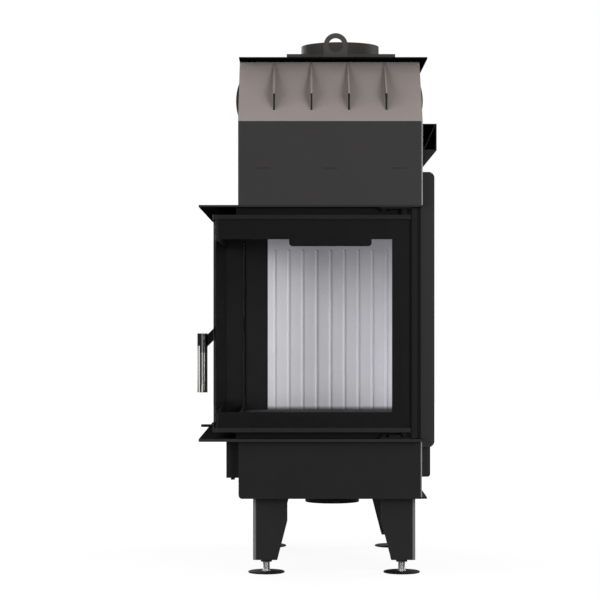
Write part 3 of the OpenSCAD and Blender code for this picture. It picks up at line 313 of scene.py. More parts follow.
def blackEnamel(name, colour, rough):
    f = Finish(name, Specular_IOR_Level=enamel["gloss"])
    waves = f.noise(f.where, enamel["waves"], 2.0)
    specks = f.noise(f.where, enamel["specks"], 2.0)
    speckled = f.between(specks, *enamel["speckRange"])
    f.feed(Base_Color=f.blend(speckled, colour, dimmed(colour, enamel["speckShade"])))
    f.feed(Roughness=f.spread(waves, rough - enamel["roughSwing"], rough + enamel["roughSwing"]))
    height = waves * enamel["waveRelief"] + specks * enamel["speckRelief"]
    f.relief(height, enamel["relief"], enamel["depth"])
    return f.material


# Glass-fibre rope: fine threads along the strands, with a fuzzy surface
fibre = {"rough": 0.95, "gloss": 0.1, "threads": 9000, "threadShade": 0.5, "threadRelief": 0.3,
         "fuzz": 1800, "relief": 0.5, "depth": 0.15 * mm}


def fibreRope(name, colour):
    f = Finish(name, Roughness=fibre["rough"], Specular_IOR_Level=fibre["gloss"])
    x, y, z = f.split(f.where)
    threads = f.maths("SINE", (x + y + z) * fibre["threads"])
    fuzz = f.noise(f.where, fibre["fuzz"])
    share = f.between(threads, -1, 1) * fuzz
    f.feed(Base_Color=f.blend(share, dimmed(colour, fibre["threadShade"]), colour))
    f.relief(threads * fibre["threadRelief"] + fuzz, fibre["relief"], fibre["depth"])
    return f.material


# Foot: black pad below, zinc stem above
footLook = {"gloss": 0.08, "clouds": 120, "padShade": 1.4, "stemShade": 0.75,
            "rough": (0.24, 0.36), "padRougher": 0.25, "grain": 1500, "relief": 0.3,
            "depth": 0.04 * mm, "edge": 0.3 * mm}


def footFinish(name, padTop, black, zinc):
    f = Finish(name, Specular_IOR_Level=footLook["gloss"])
    metal = f.split(f.where)[2] > padTop
    cloud = f.noise(f.where, footLook["clouds"])
    pad = f.blend(cloud, black, dimmed(black, footLook["padShade"]))
    stem = f.blend(cloud, zinc, dimmed(zinc, footLook["stemShade"]))
    f.feed(Base_Color=f.blend(metal, pad, stem), Metallic=metal)
    rough = f.spread(cloud, *footLook["rough"])
    f.feed(Roughness=rough + (1 - metal) * footLook["padRougher"])
    grain = f.noise(f.where, footLook["grain"], 2.0)
    f.relief(grain, footLook["relief"], footLook["depth"], footLook["edge"])
    return f.material


paints = {
    "black": powderPaint("blackPaint", (0.009, 0.009, 0.0093)),
    # The cover's faces that don't look up are nearly black: painted shade
    "cover": powderPaint("coverPaint", (0.012, 0.0118, 0.0118), gloss=0.0, dust=0.015,
                         side=(0.0025, 0.0025, 0.0025)),
    # The plates' flat faces are darker than their upright edges: painted shade
    "plate": powderPaint("platePaint", (0.02, 0.0195, 0.0197), gloss=0.0, dust=0.012,
                         shadedLevel=(0.011, 0.011, 0.011)),
    "upper": powderPaint("upperBoxPaint", (0.024, 0.0228, 0.0231), cloud=0.04),
    # Two copies of one door paint: the top rail darker as painted shade, the bottom rail and stiles
    # lighter as painted light
    "door": powderPaint("doorPaint", (0.0072, 0.0072, 0.0074), rough=0.45, cloud=0.05),
    "stile": powderPaint("stilePaint", (0.0112, 0.0112, 0.0114), rough=0.45, cloud=0.05),
    # On the legs the edges and the curves between upright faces are painted paler: painted
    # highlight
    "leg": powderPaint("legPaint", (0.0115, 0.0115, 0.0118), edge=2.5 * mm, wearAndHighlight=0.12, bendHighlight=0.2),
    # A lighter copy of the black paint for the front channel: painted light
    "inner": powderPaint("innerPaint", (0.017, 0.017, 0.0172), gloss=0.03),
    # A darker copy of the black paint for frames, hinges, screws, handle parts and the grip liner:
    # painted shade
    "shadedBlack": powderPaint("fittingPaint", (0.0042, 0.0042, 0.0043), gloss=0.03),
    # The hood's pale brown-grey is painted reflection of light from above on its sloping faces
    "hoodSheen": powderPaint("hoodPaint", (0.215, 0.188, 0.177), rough=0.6, gloss=0.08, dust=0.02,
                         cloud=0.03),
    # Fins: pale on what looks up as painted reflection, darker on upright faces and nearly black
    # beneath as painted shade
    "fin": powderPaint("finPaint", (0.225, 0.198, 0.187), rough=0.6, gloss=0.08, dust=0.02,
                       cloud=0.03, shadedUnder=(0.009, 0.0085, 0.0085), side=(0.028, 0.0262, 0.0255)),
    "warmGrey": powderPaint("plinthPaint", (0.043, 0.0405, 0.039), cloud=0.06),
    "collar": powderPaint("collarPaint", (0.029, 0.0275, 0.0268), cloud=0.06),
    "lug": powderPaint("lugPaint", (0.041, 0.0398, 0.039), cloud=0.06),
    "casing": powderPaint("casingPaint", (0.0168, 0.0156, 0.0163), rough=0.42, cloud=0.04),
    # Cut edges made bright: partly a painted highlight
    "cutEdgeHighlight": cutEdgePaint("cutEdgePaint", (0.009, 0.009, 0.0094), (0.17, 0.17, 0.175)),
    "darkSteel": brushedMetal("darkSteel", (0.01, 0.01, 0.0105), 0.45, metallic=0.2),
    "zinc": zincPlate("zincPlate", (0.55, 0.55, 0.56), 0.32),
    "blackZinc": zincPlate("blackZinc", (0.02, 0.02, 0.02), 0.4),
    "stainless": brushedMetal("stainless", (0.2, 0.197, 0.193), 0.2),
    "chrome": brushedMetal("blackChrome", (0.1, 0.0975, 0.095), 0.13, edge=0.0),
    "lining": liningBoard("liningBoard", (0.9, 0.893, 0.94)),
    "floorLining": liningBoard("floorLining", (0.06, 0.06, 0.06), (0.3, 0.34), 0.3),
    "darkBoard": liningBoard("darkBoard", (0.03, 0.03, 0.03), (0.3, 0.34), 0.3),
    "glass": clearGlass("paneGlass", (0.0065, 0.0065, 0.0067), 0.04),
    "enamel": blackEnamel("blackEnamel", (0.0062, 0.0062, 0.0065), 0.22),
    "rope": fibreRope("fibreRope", (0.03, 0.03, 0.029)),
    "cap": brushedMetal("glossCap", (0.028, 0.0274, 0.027), 0.1, metallic=0.9, edge=0.0),
}

# Which CAD nodes get which paint; those that are replaced below need none
nodePaints = {
    "black": "base_pan base_side_panels front_air_box rear_post firebox_left_wall baffle_rests "
    "air_wash_deflector air_lever rear_channel channel_braces glass_clips",
    "inner": "front_channel",
    "leg": "legs",
    # These take the darker copy of black, which is painted shade
    "shadedBlack": "front_frame side_frame lower_hinge upper_hinge fixing_screws handle_shaft "
    "handle_arm",
    "cover": "top_cover",
    "plate": "bottom_plate top_plate",
    "upper": "upper_front_panel upper_side_panels",
    "door": "door_top_rail",
    "stile": "door_bottom_rail latch_stile hinge_stile",
    # The hood's pale colour is painted reflection
    "hoodSheen": "hood",
    "fin": "hood_side_fins hood_end_fins",
    "warmGrey": "flue_plinth",
    "lug": "lifting_lugs",
    "casing": "rear_casing lower_rear_duct firebox_back",
    "cutEdgeHighlight": "base_back_panel upper_back_panel",
    "darkSteel": "latch_keeper latch_cam air_shutter",
    "blackZinc": "leg_nuts",
    "lining": "lining_back lining_left",
    "darkBoard": "lower_baffle upper_baffle",
    "floorLining": "lining_floor",
    "glass": "door_glass",
    "enamel": "glass_enamel",
    "cap": "handle_ends",
}
for paint, names in nodePaints.items():
    for name in names.split():
        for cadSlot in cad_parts[name].material_slots:
            cadSlot.material = paints[paint]
print("finishes on the CAD nodes")


def added(name, data):
    thing = bpy.data.objects.new(name, data)
    bpy.context.scene.collection.objects.link(thing)
    return thing


# The holder's mesh with its modifiers made plain; the holder itself goes
def plainMesh(holder):
    ready = holder.evaluated_get(bpy.context.evaluated_depsgraph_get())
    mesh = bpy.data.meshes.new_from_object(ready)
    holder.modifiers.clear()
    bpy.data.objects.remove(holder)
    return mesh


def meshOf(name, shape):
    mesh = bpy.data.meshes.new(name)
    shape.to_mesh(mesh)
    shape.free()
    return mesh


def linesOf(name, points, edges=()):
    mesh = bpy.data.meshes.new(name)
    mesh.from_pydata(points, edges, [])
    return mesh


# A Geometry Nodes tree for what repeats, with its sizes as named inputs
class Growth(Graph):
    def __init__(self, name, sizes):
        super().__init__(bpy.data.node_groups.new(name, "GeometryNodeTree"))
        sockets = self.tree.interface
        sockets.new_socket("Start", in_out="INPUT", socket_type="NodeSocketGeometry")
        for key, value in sizes.items():
            kind = "NodeSocketInt" if isinstance(value, int) else "NodeSocketFloat"
            sockets.new_socket(key, in_out="INPUT", socket_type=kind)
        sockets.new_socket("Made", in_out="OUTPUT", socket_type="NodeSocketGeometry")
        entry = self.tree.nodes.new("NodeGroupInput")
        self.name, self.sizes = name, sizes
        self.start = Wire(self, entry.outputs["Start"])
        self.size = {key: Wire(self, entry.outputs[key]) for key in sizes}
        self.index = self.add("GeometryNodeInputIndex")
        self.spot = self.add("GeometryNodeInputPosition")

    # What the tree has made comes out as a plain mesh with its paint
    def grow(self, made, paint, start=None):
        real = self.add("GeometryNodeRealizeInstances", None, {0: made})
        sockets = {"Geometry": real, "Material": paints[paint]}
        painted = self.add("GeometryNodeSetMaterial", None, sockets)
        ending = self.tree.nodes.new("NodeGroupOutput")
        self.tree.links.new(painted.socket, ending.inputs["Made"])
        holder = added(self.name, start or bpy.data.meshes.new(self.name))
        modifier = holder.modifiers.new(self.name, "NODES")
        modifier.node_group = self.tree
        for socket in self.tree.interface.items_tree:
            if socket.in_out == "INPUT" and socket.name in self.sizes:
                modifier[socket.identifier] = self.sizes[socket.name]
        return plainMesh(holder)


def place(name, mesh, body, paint):
    piece = added(name, mesh)
    if paint:
        mesh.materials.clear()
        mesh.materials.append(paints[paint])
    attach(piece, body)
    return piece


# Doubles merged, faces turned outwards, a wall and soft edges if asked for, and smooth shading
# up to a sharp edge
merge = {"solid": 0.01 * mm, "sheet": 0.05 * mm}


def finished(mesh, wall=0.0, bevel=0.0, sharp=35):
    shape = bmesh.new()
    shape.from_mesh(mesh)
    bmesh.ops.remove_doubles(shape, verts=shape.verts, dist=merge["solid"])
    bmesh.ops.recalc_face_normals(shape, faces=shape.faces)
    shape.to_mesh(mesh)
    shape.free()
    if wall or bevel:
        holder = added("holder", mesh)
        if wall:
            solid = holder.modifiers.new("wall", "SOLIDIFY")
            solid.thickness, solid.offset = wall, -1
        if bevel:
            soft = holder.modifiers.new("soft edges", "BEVEL")
            soft.width, soft.segments, soft.limit_method = bevel, 3, "ANGLE"
        mesh = plainMesh(holder)
    mesh.shade_smooth()
    mesh.set_sharp_from_angle(angle=math.radians(sharp))
    return mesh


# Points round a centre, one at each angle
def around(centre, radius, angles):
    return [(centre[0] + radius * math.cos(a), centre[1] + radius * math.sin(a)) for a in angles]


# Points on an arc, from one angle to another in steps of so many degrees
def arc(centre, radius, first, last, step):
    return around(centre, radius, [math.radians(d) for d in range(first, last + 1, step)])


# A profile of radius and height turned round an upright axis
def turned(profile, centre, steps, ring=False):
    shape = bmesh.new()
    angles = [2 * math.pi * i / steps for i in range(steps)]
    rings = []
    for radius, height in profile:
        if radius == 0:
            rings.append([shape.verts.new((*centre, height))])
            continue
        spots = around(centre, radius, angles)
        rings.append([shape.verts.new((*spot, height)) for spot in spots])
    uppers = rings[1:] + rings[:1] if ring else rings[1:]
    for low, high in zip(rings, uppers):
        for i in range(steps):
            j = (i + 1) % steps
            corners = [low[i % len(low)], low[j % len(low)]]
            corners += [high[j % len(high)], high[i % len(high)]]
            shape.faces.new(list(dict.fromkeys(corners)))
    return finished(meshOf("turned", shape))


def middle(name):
    low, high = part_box(name)
    return ((low[0] + high[0]) / 2, (low[1] + high[1]) / 2)


# Feet: a pad with a rolled rim, a small boss and a threaded stem. The rim is given in shares of
# the pad's radius and height, the boss in shares of its radius and heights above the pad.
foot = {
    "padRadius": 40 * mm, "padHeight": 4 * mm,
    "rim": ((0.95, 0), (0.985, 0.12), (1, 0.4), (1, 0.65), (0.985, 0.88), (0.95, 1)),
    "bossRadius": 10 * mm, "boss": ((1.02, 0), (1, 0.2 * mm), (1, 1.0 * mm), (0.93, 1.4 * mm)),
    "stemRadius": 8 * mm, "stemUp": 1.5 * mm, "threadUp": 2.5 * mm, "pitch": 2.5 * mm,
    "depth": 1.1 * mm, "top": 90 * mm, "tipHeight": 1.5 * mm, "tipShare": 0.8, "steps": 48,
    "padTop": 4.3 * mm, "black": (0.004, 0.004, 0.004), "zinc": (0.5, 0.5, 0.51)}
paints["foot"] = footFinish("footFinish", foot["padTop"], foot["black"], foot["zinc"])


def footProfile():
    pad, high, stem = foot["padRadius"], foot["padHeight"], foot["stemRadius"]
    points = [(0, 0)] + [(pad * out, high * up) for out, up in foot["rim"]]
    points += [(foot["bossRadius"] * out, high + up) for out, up in foot["boss"]]
    points.append((stem, high + foot["stemUp"]))
    height = high + foot["threadUp"]
    while height + foot["pitch"] < foot["top"] - foot["tipHeight"]:
        points += [(stem, height), (stem - foot["depth"], height + foot["pitch"] * 0.5)]
        height += foot["pitch"]
    return points + [(stem, height), (stem * foot["tipShare"], foot["top"]), (0, foot["top"])]


for corner in ("front_left", "front_right", "rear_left", "rear_right"):
    made = turned(footProfile(), middle(corner + "_foot"), foot["steps"])
    piece = place(corner + "_foot_turned", made, "foot_" + corner, "foot")
    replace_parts(piece, corner + "_foot")
print("feet turned")


# Flue collar with a rolled rim
collar = {"wall": 3 * mm, "rim": 1.6 * mm, "rimDown": 4.8 * mm, "steps": 128}
low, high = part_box("flue_collar")
radius = (high[0] - low[0]) / 2
inner = radius - collar["wall"]
rimCentre = (inner + collar["wall"] / 2, high[2] - collar["rim"])
outline = [(inner, low[2]), (radius, low[2]), (radius, high[2] - collar["rimDown"])]
outline += arc(rimCentre, collar["rim"], -30, 210, 30) + [(inner, high[2] - collar["rimDown"])]
made = turned(outline, middle("flue_collar"), collar["steps"], ring=True)
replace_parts(place("flue_collar_rolled", made, "insert", "collar"), "flue_collar")
print("flue collar rolled")


# Air spigot: a bead that holds the duct, and a flange inside on the base sheet with a neck below it
spigot = {"wall": 2 * mm, "chamfer": 0.8 * mm, "bead": 1.8 * mm, "beadIn": 0.6 * mm,
          "beadUp": 9 * mm, "flange": 12 * mm, "sheet": 4 * mm, "neck": 1 * mm, "neckLow": 6 * mm,
          "neckHigh": 5.5 * mm, "steps": 128}
low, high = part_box("air_spigot")
flangeRadius = (high[0] - low[0]) / 2
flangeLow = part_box("base_pan")[0][2] + spigot["sheet"]
radius = flangeRadius - spigot["flange"]
inner, neck = radius - spigot["wall"], radius - spigot["neck"]
beadCentre = (radius - spigot["beadIn"], low[2] + spigot["beadUp"])
outline = [(inner, low[2]), (radius - spigot["chamfer"], low[2])]
outline += [(radius, low[2] + spigot["chamfer"])]
outline += arc(beadCentre, spigot["bead"], -66, 66, 22)
outline += [(radius, flangeLow - spigot["neckLow"]), (neck, flangeLow - spigot["neckHigh"])]
outline += [(neck, flangeLow), (flangeRadius, flangeLow), (flangeRadius, high[2]), (inner, high[2])]
made = turned(outline, middle("air_spigot"), spigot["steps"], ring=True)
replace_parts(place("air_spigot_beaded", made, "insert", "black"), "air_spigot")
print("air spigot beaded")


# The separate solids of a node, as boxes in a fixed order
def solidsOf(name):
    shape = bmesh.new()
    shape.from_mesh(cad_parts[name].data)
    bmesh.ops.remove_doubles(shape, verts=shape.verts, dist=merge["solid"])
    left, boxes = set(shape.verts), []
    while left:
        reach, group = [left.pop()], []
        while reach:
            vert = reach.pop()
            group.append(tuple(vert.co))
            ends = [edge.other_vert(vert) for edge in vert.link_edges]
            fresh = [end for end in ends if end in left]
            left.difference_update(fresh)
            reach += fresh
        columns = list(zip(*group))
        boxes.append([tuple(pick(column) for column in columns) for pick in (min, max)])
    shape.free()
    return sorted(boxes)


# Leg bolts: hexagon heads with a chamfer on washers, and a shaft between them
bolt = {"headRadius": 6.9 * mm, "headHeight": 3.6 * mm, "headSides": 6, "chamfer": 0.16,
        "washerRadius": 8.2 * mm, "washerHeight": 1.2 * mm, "washerSides": 28,
        "shaftRadius": 3.9 * mm, "shaftSides": 20, "threadOut": 0.6 * mm}


def boltSet():
    boxes = solidsOf("leg_bolts")
    spots = linesOf("boltSpots", [((a[0] + b[0]) / 2, (a[1] + b[1]) / 2, 0) for a, b in boxes])
    g = Growth("boltSet", bolt | {"foot": boxes[0][0][2], "head": boxes[0][1][2]})
    size = g.size
    near, far = size["foot"], size["head"]
    inner, outer = near + size["threadOut"], far - size["threadOut"]
    tall, bevel = size["headHeight"], size["headHeight"] * size["chamfer"]
    wide, small = size["headRadius"], size["headRadius"] * (1 - size["chamfer"])
    disc, thick = size["washerRadius"], size["washerHeight"]
    shaft = size["shaftRadius"]
    stubs = (
        (inner, inner + bevel, small, wide, size["headSides"]),
        (inner + bevel, inner + tall, wide, wide, size["headSides"]),
        (inner + tall, inner + tall + thick, disc, disc, size["washerSides"]),
        (near + tall, far, shaft, shaft, size["shaftSides"]),
        (outer - bevel, outer, wide, small, size["headSides"]),
        (outer - tall, outer - bevel, wide, wide, size["headSides"]),
        (outer - tall - thick, outer - tall, disc, disc, size["washerSides"]))
    parts = g.tree.nodes.new("GeometryNodeJoinGeometry")
    for low, high, lowRadius, highRadius, sides in stubs:
        stub = g.add("GeometryNodeMeshCone", None, {
            "Vertices": sides, "Depth": high - low,
            "Radius Top": highRadius, "Radius Bottom": lowRadius})
        lift = g.join(0, 0, low)
        stub = g.add("GeometryNodeTransform", None, {"Geometry": stub, "Translation": lift})
        g.tree.links.new(stub.socket, parts.inputs[0])
    sockets = {"Points": g.start, "Instance": Wire(g, parts.outputs[0])}
    return g.grow(g.add("GeometryNodeInstanceOnPoints", None, sockets), "zinc", spots)


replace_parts(place("leg_bolts_hex", finished(boltSet()), "insert", None), "leg_bolts")
print("leg bolts made")


# Weld beads on both sides of each sloping fin, where it meets the hood
weld = {"radius": 1.3 * mm, "step": 4 * mm, "ripple": 0.35 * mm, "sides": 6, "seed": 3}
seam = {"short": 3 * mm, "topBand": 0.1 * mm}


def weldLines():
    low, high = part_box("hood")
    corners = [vert.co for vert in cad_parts["hood"].data.vertices]
    top = max(abs(corner[0]) for corner in corners if corner[2] > high[2] - seam["topBand"])
    lean = (high[0] - top) / (high[2] - low[2])
    lines = []
    for a, b in solidsOf("hood_side_fins"):
        side = 1 if a[0] > 0 else -1
        heights = (a[2] + seam["short"], b[2] - seam["short"])
        ends = [(side * (high[0] - (z - low[2]) * lean), z) for z in heights]
        lines += [[(x, y, z) for x, z in ends] for y in (a[1], b[1])]
    spots = [spot for line in lines for spot in line]
    return linesOf("weldLines", spots, [(2 * i, 2 * i + 1) for i in range(len(lines))])


def finWelds():
    lines = weldLines()
    g = Growth("finWelds", weld)
    size = g.size
    path = g.add("GeometryNodeMeshToCurve", None, {"Mesh": g.start})
    sockets = {"Curve": path, "Length": size["step"]}
    path = g.add("GeometryNodeResampleCurve", {"mode": "LENGTH"}, sockets)
    wobble = g.add("FunctionNodeRandomValue", {"data_type": "FLOAT_VECTOR"}, {
        0: (-1, -1, -1), 1: (1, 1, 1), "ID": g.index, "Seed": size["seed"]})
    sockets = {"Geometry": path, "Offset": g.scaled(wobble, size["ripple"])}
    path = g.add("GeometryNodeSetPosition", None, sockets)
    sockets = {"Resolution": size["sides"], "Radius": size["radius"]}
    ring = g.add("GeometryNodeCurvePrimitiveCircle", None, sockets)
    sockets = {"Curve": path, "Profile Curve": ring, "Fill Caps": True}
    # The beads take the hood's paint, whose pale colour is painted reflection
    return g.grow(g.add("GeometryNodeCurveToMesh", None, sockets), "hoodSheen", lines)


place("fin_welds", finished(finWelds(), sharp=180), "insert", None)
print("fin welds made")


# Handle grip: a rolled sheet with staggered round holes, plain ends and a black liner
holes = {"radius": 10 * mm, "pitch": 6.03 * mm, "hole": 1.95 * mm, "columns": 12, "rows": 14,
         "cellSides": 12, "merge": merge["sheet"]}
grip = {"wall": 0.8 * mm, "plainEnd": 13.5 * mm, "sleeve": 48 * mm, "proud": 0.05 * mm, "steps": 48,
        "soft": 0.35 * mm, "linerOut": 0.8 * mm, "linerIn": 1.5 * mm, "linerUp": 2 * mm}
tubeLow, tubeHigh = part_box("handle_tube")
gripX, gripY = (tubeLow[0] + tubeHigh[0]) / 2, tubeHigh[1] - holes["radius"]
sheetLow = tubeLow[2] + grip["plainEnd"]
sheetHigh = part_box("handle_ends")[1][2] - grip["sleeve"]


def perforatedSheet():
    g = Growth("perforatedSheet", holes | {"foot": sheetLow, "axisX": gripX, "axisY": gripY})
    size = g.size
    column = g.maths("FLOOR", g.index / size["rows"])
    row = g.index - column * size["rows"]
    across = size["radius"] * (2 * math.pi) / size["columns"]
    up = (row + g.maths("MODULO", column, 2) * 0.5 + 0.5) * size["pitch"]
    sockets = {0: size["columns"] * size["rows"], 1: g.join(column * across, up, 0)}
    dots = g.add("GeometryNodePoints", None, sockets)
    # One cell is a ring between the hole and a border of six sides, each with a point at its middle
    border = size["pitch"] / math.sqrt(3)
    cell = g.add("GeometryNodeMeshCone", {"fill_type": "NONE"}, {
        "Vertices": size["cellSides"], "Side Segments": 1, "Depth": 0.0,
        "Radius Top": size["hole"], "Radius Bottom": border})
    outside = g.measure("LENGTH", g.spot) > size["hole"] * 1.2
    middles = outside * g.maths("MODULO", g.index, 2)
    flat = 1 - middles * (1 - math.cos(math.pi / 6))
    stretch = g.join(across / (border * 1.5), 1, 1)
    shaped = g.vector("MULTIPLY", g.scaled(g.spot, flat), stretch)
    cell = g.add("GeometryNodeSetPosition", None, {"Geometry": cell, "Position": shaped})
    sheet = g.add("GeometryNodeInstanceOnPoints", None, {"Points": dots, "Instance": cell})
    sheet = g.add("GeometryNodeRealizeInstances", None, {0: sheet})
    joined = {"Geometry": sheet, "Distance": size["merge"]}
    sheet = g.add("GeometryNodeMergeByDistance", None, joined)
    x, y = g.split(g.spot)[:2]
    angle = x / size["radius"]
    wrapped = g.join(g.maths("COSINE", angle) * size["radius"] + size["axisX"],
                     g.maths("SINE", angle) * size["radius"] + size["axisY"], y + size["foot"])
    sheet = g.add("GeometryNodeSetPosition", None, {"Geometry": sheet, "Position": wrapped})
    joined = {"Geometry": sheet, "Distance": size["merge"]}
    return g.grow(g.add("GeometryNodeMergeByDistance", None, joined), "chrome")


made = finished(perforatedSheet(), wall=grip["wall"], sharp=50)
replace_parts(place("grip_sheet", made, "handle", None), "handle_tube")


# A ring with softly rounded rims
def band(bottom, top, inner, outer):
    soft = grip["soft"]
    return [(inner, bottom), (outer - soft, bottom), (outer, bottom + soft), (outer, top - soft),
            (outer - soft, top), (inner, top)]


inside, outside = holes["radius"] - grip["wall"], holes["radius"] + grip["proud"]
lap = holes["pitch"] * 0.5
bands = {
    "grip_lower_band": ("chrome", tubeLow[2], sheetLow + holes["pitch"], inside, outside),
    "grip_upper_band": ("chrome", sheetHigh - lap, sheetHigh, inside, outside),
    # The liner takes the darker copy of black, which is painted shade
    "grip_liner": ("shadedBlack", tubeLow[2] + grip["linerUp"], sheetHigh, inside - grip["linerIn"],
                   inside - grip["linerOut"])}
for name, (paint, *sizes) in bands.items():
    made = turned(band(*sizes), (gripX, gripY), grip["steps"], ring=True)
    place(name, made, "handle", paint)


# The guard strip, with its lower corners rounded
guard = {"width": 12 * mm, "thickness": 3 * mm, "corner": 4 * mm, "edge": 0.5 * mm}


def guardStrip():
    half, corner, front = guard["width"] / 2, guard["corner"], tubeLow[1]
    outline = [(half, tubeHigh[2]), (-half, tubeHigh[2])]
    for side, first in ((-1, 180), (1, 270)):
        centre = (side * (half - corner), tubeLow[2] + corner)
        outline += arc(centre, corner, first, first + 90, 15)
    shape = bmesh.new()
    ends = [[shape.verts.new((gripX + x, y, z)) for x, z in outline]
            for y in (front, front + guard["thickness"])]
    for end in ends:
        shape.faces.new(end)
    for i in range(len(outline)):
        j = (i + 1) % len(outline)
        shape.faces.new([ends[0][i], ends[0][j], ends[1][j], ends[1][i]])
    return finished(meshOf("guardStrip", shape), bevel=guard["edge"])


place("grip_guard", guardStrip(), "handle", "stainless")
print("handle grip perforated")


# Door seal: four strands twisted round a core, in a loop that follows the L of the door
rope = {"strand": 1.05 * mm, "twists": 190, "corner": 8 * mm, "step": 1.7 * mm, "width": 7 * mm,
        "thickness": 4.7 * mm, "sides": 5, "core": 0.53, "coreSides": 12}
strandCount = 4


def ropeLoop():
    low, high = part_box("door_seal")
    half, depth = rope["width"] / 2, rope["thickness"] / 2
    left, side = low[0] + half, high[0] - depth
    front, rear = low[1] + depth, high[1] - half
    bottom, top = low[2] + half, high[2] - half
    points = [(left, front, bottom), (side, front, bottom), (side, rear, bottom),
              (side, rear, top), (side, front, top), (left, front, top)]
    edges = [(i, (i + 1) % len(points)) for i in range(len(points))]
    return linesOf("ropeLoop", points, edges), side


def sealRope():
    loop, side = ropeLoop()
    g = Growth("sealRope", rope | {"sideX": side})
    size = g.size
    path = g.add("GeometryNodeMeshToCurve", None, {"Mesh": g.start})
    path = g.add("GeometryNodeFilletCurve", None, {"Curve": path, "Radius": size["corner"]})
    sockets = {"Curve": path, "Length": size["step"]}
    path = g.add("GeometryNodeResampleCurve", {"mode": "LENGTH"}, sockets)
    along = g.add("GeometryNodeInputTangent")
    onSide = g.between(g.split(g.spot)[0], size["sideX"] - size["corner"], size["sideX"])
    inward = g.vector("NORMALIZE", g.join(onSide, 1 - onSide, 0))
    across = g.vector("NORMALIZE", g.vector("CROSS_PRODUCT", along, inward))
    share = g.add("GeometryNodeSplineParameter")
    thin, wide = size["thickness"] / 2 - size["strand"], size["width"] / 2 - size["strand"]

    def tube(curve, sides, radius):
        sockets = {"Resolution": sides, "Radius": radius}
        ring = g.add("GeometryNodeCurvePrimitiveCircle", None, sockets)
        made = g.add("GeometryNodeCurveToMesh", None, {"Curve": curve, "Profile Curve": ring})
        g.tree.links.new(made.socket, strands.inputs[0])

    strands = g.tree.nodes.new("GeometryNodeJoinGeometry")
    tube(path, size["coreSides"], size["thickness"] * size["core"])
    for strand in range(strandCount):
        turn = (share * size["twists"] + strand / strandCount) * (2 * math.pi)
        off = g.vector("ADD", g.scaled(inward, g.maths("COSINE", turn) * thin),
                       g.scaled(across, g.maths("SINE", turn) * wide))
        twisted = g.add("GeometryNodeSetPosition", None, {"Geometry": path, "Offset": off})
        tube(twisted, size["sides"], size["strand"])
    return g.grow(Wire(g, strands.outputs[0]), "rope", loop)


seal = place("seal_rope", finished(sealRope(), sharp=180), "door", None)
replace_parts(seal, "door_seal")
print("door seal twisted")


# Camera at the photograph's place: square on the glazed side, a little below the middle
view = {"place": (4.976, -0.0199, 0.561), "lens": 128.4, "sensor": 36, "shiftY": 0.0288}
cameraData = bpy.data.cameras.new("camera")
cameraData.lens, cameraData.sensor_width = view["lens"], view["sensor"]
cameraData.shift_y = view["shiftY"]
camera = added("camera", cameraData)
camera.location = view["place"]
camera.rotation_euler = Vector((-1, 0, 0)).to_track_quat("-Z", "Y").to_euler()
bpy.context.scene.camera = camera

# Soft studio light from big panels, each with its place, aim, width and height, and watts
middleAim, upperAim = (0, 0, 0.6), (0, 0, 0.8)
lamps = {
    "frontBox": ((1.9, -2.82, 1.35), middleAim, (1.8, 2.6), 60),
    "sideBox": ((2.75, 2.0, 1.35), middleAim, (1.4, 2.6), 35),
    "leftBox": ((4.2, -2.1, 0.85), middleAim, (1.4, 1.6), 66),
    "rightBox": ((4.2, 1.55, 0.85), middleAim, (1.0, 1.6), 92),
    "overhead": ((0.4, -0.2, 3.4), upperAim, (2.6, 2.6), 9),
    "farSide": ((-3.0, -1.6, 2.0), middleAim, (2.0, 2.2), 70),
    "behind": ((-1.2, 3.2, 1.9), middleAim, (2.0, 2.2), 70),
}
for name, (spot, aim, panel, watts) in lamps.items():
    light = bpy.data.lights.new(name, "AREA")
    light.shape, light.energy = "RECTANGLE", watts
    light.size, light.size_y = panel
    lamp = added(name, light)
    lamp.location = spot
    lamp.rotation_euler = (Vector(aim) - Vector(spot)).to_track_quat("-Z", "Y").to_euler()

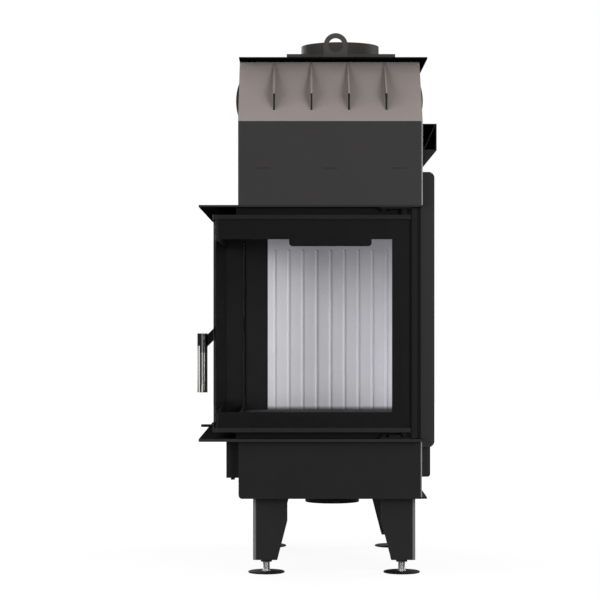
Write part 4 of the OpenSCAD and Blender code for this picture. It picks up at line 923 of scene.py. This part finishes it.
# An even surround: fully bright where the camera looks, weaker in mirrored rays and as light
surround = {"light": 0.28, "seen": 1.0, "mirrored": 0.4}


# The share that a ray sees: all from the camera or through glass, less when mirrored
def shownTo(graph):
    looking, glossy, through = [graph.add("ShaderNodeLightPath", out=i) for i in (0, 3, 6)]
    shown = graph.maths("MAXIMUM", looking, glossy * surround["mirrored"])
    return graph.maths("MAXIMUM", shown, through)


world = bpy.data.worlds.new("surround")
bpy.context.scene.world = world
world.use_nodes = True
air = Graph(world.node_tree)
back = world.node_tree.nodes["Background"]
back.inputs["Color"].default_value = (1, 1, 1, 1)
strength = shownTo(air) * (surround["seen"] - surround["light"]) + surround["light"]
world.node_tree.links.new(strength.socket, back.inputs["Strength"])

# A pale floor that is bright to look at and grey to the light that it throws back
floorLook = {"half": 9, "thrown": (0.25, 0.25, 0.25), "seen": (0.6, 0.6, 0.6), "glow": 1.1,
             "near": 0.8, "far": 2.4, "nearGlow": 0.82}
half = floorLook["half"]
floorMesh = bpy.data.meshes.new("floor")
corners = [(-half, -half, 0), (half, -half, 0), (half, half, 0), (-half, half, 0)]
floorMesh.from_pydata(corners, [], [(0, 1, 2, 3)])
floor = added("floor", floorMesh)
pale = bpy.data.materials.new("paleFloor")
pale.use_nodes = True
ground = Graph(pale.node_tree)
looked = ground.add("ShaderNodeLightPath")
tone = ground.blend(looked, floorLook["thrown"], floorLook["seen"])
matt = ground.add("ShaderNodeBsdfDiffuse", None, {"Color": tone})
sockets = {"Color": (1, 1, 1, 1), "Strength": floorLook["glow"]}
bright = ground.add("ShaderNodeEmission", None, sockets)
away = ground.measure("LENGTH", ground.add("ShaderNodeTexCoord", out=3))
glowing = ground.between(away, floorLook["near"], floorLook["far"], floorLook["nearGlow"], 1.0)
share = shownTo(ground) * glowing
mixed = ground.add("ShaderNodeMixShader", None, {0: share, 1: matt, 2: bright})
ending = pale.node_tree.nodes["Material Output"]
pale.node_tree.links.new(mixed.socket, ending.inputs["Surface"])
floorMesh.materials.append(pale)

bpy.context.scene.view_settings.view_transform = "Standard"
print("scene ready")
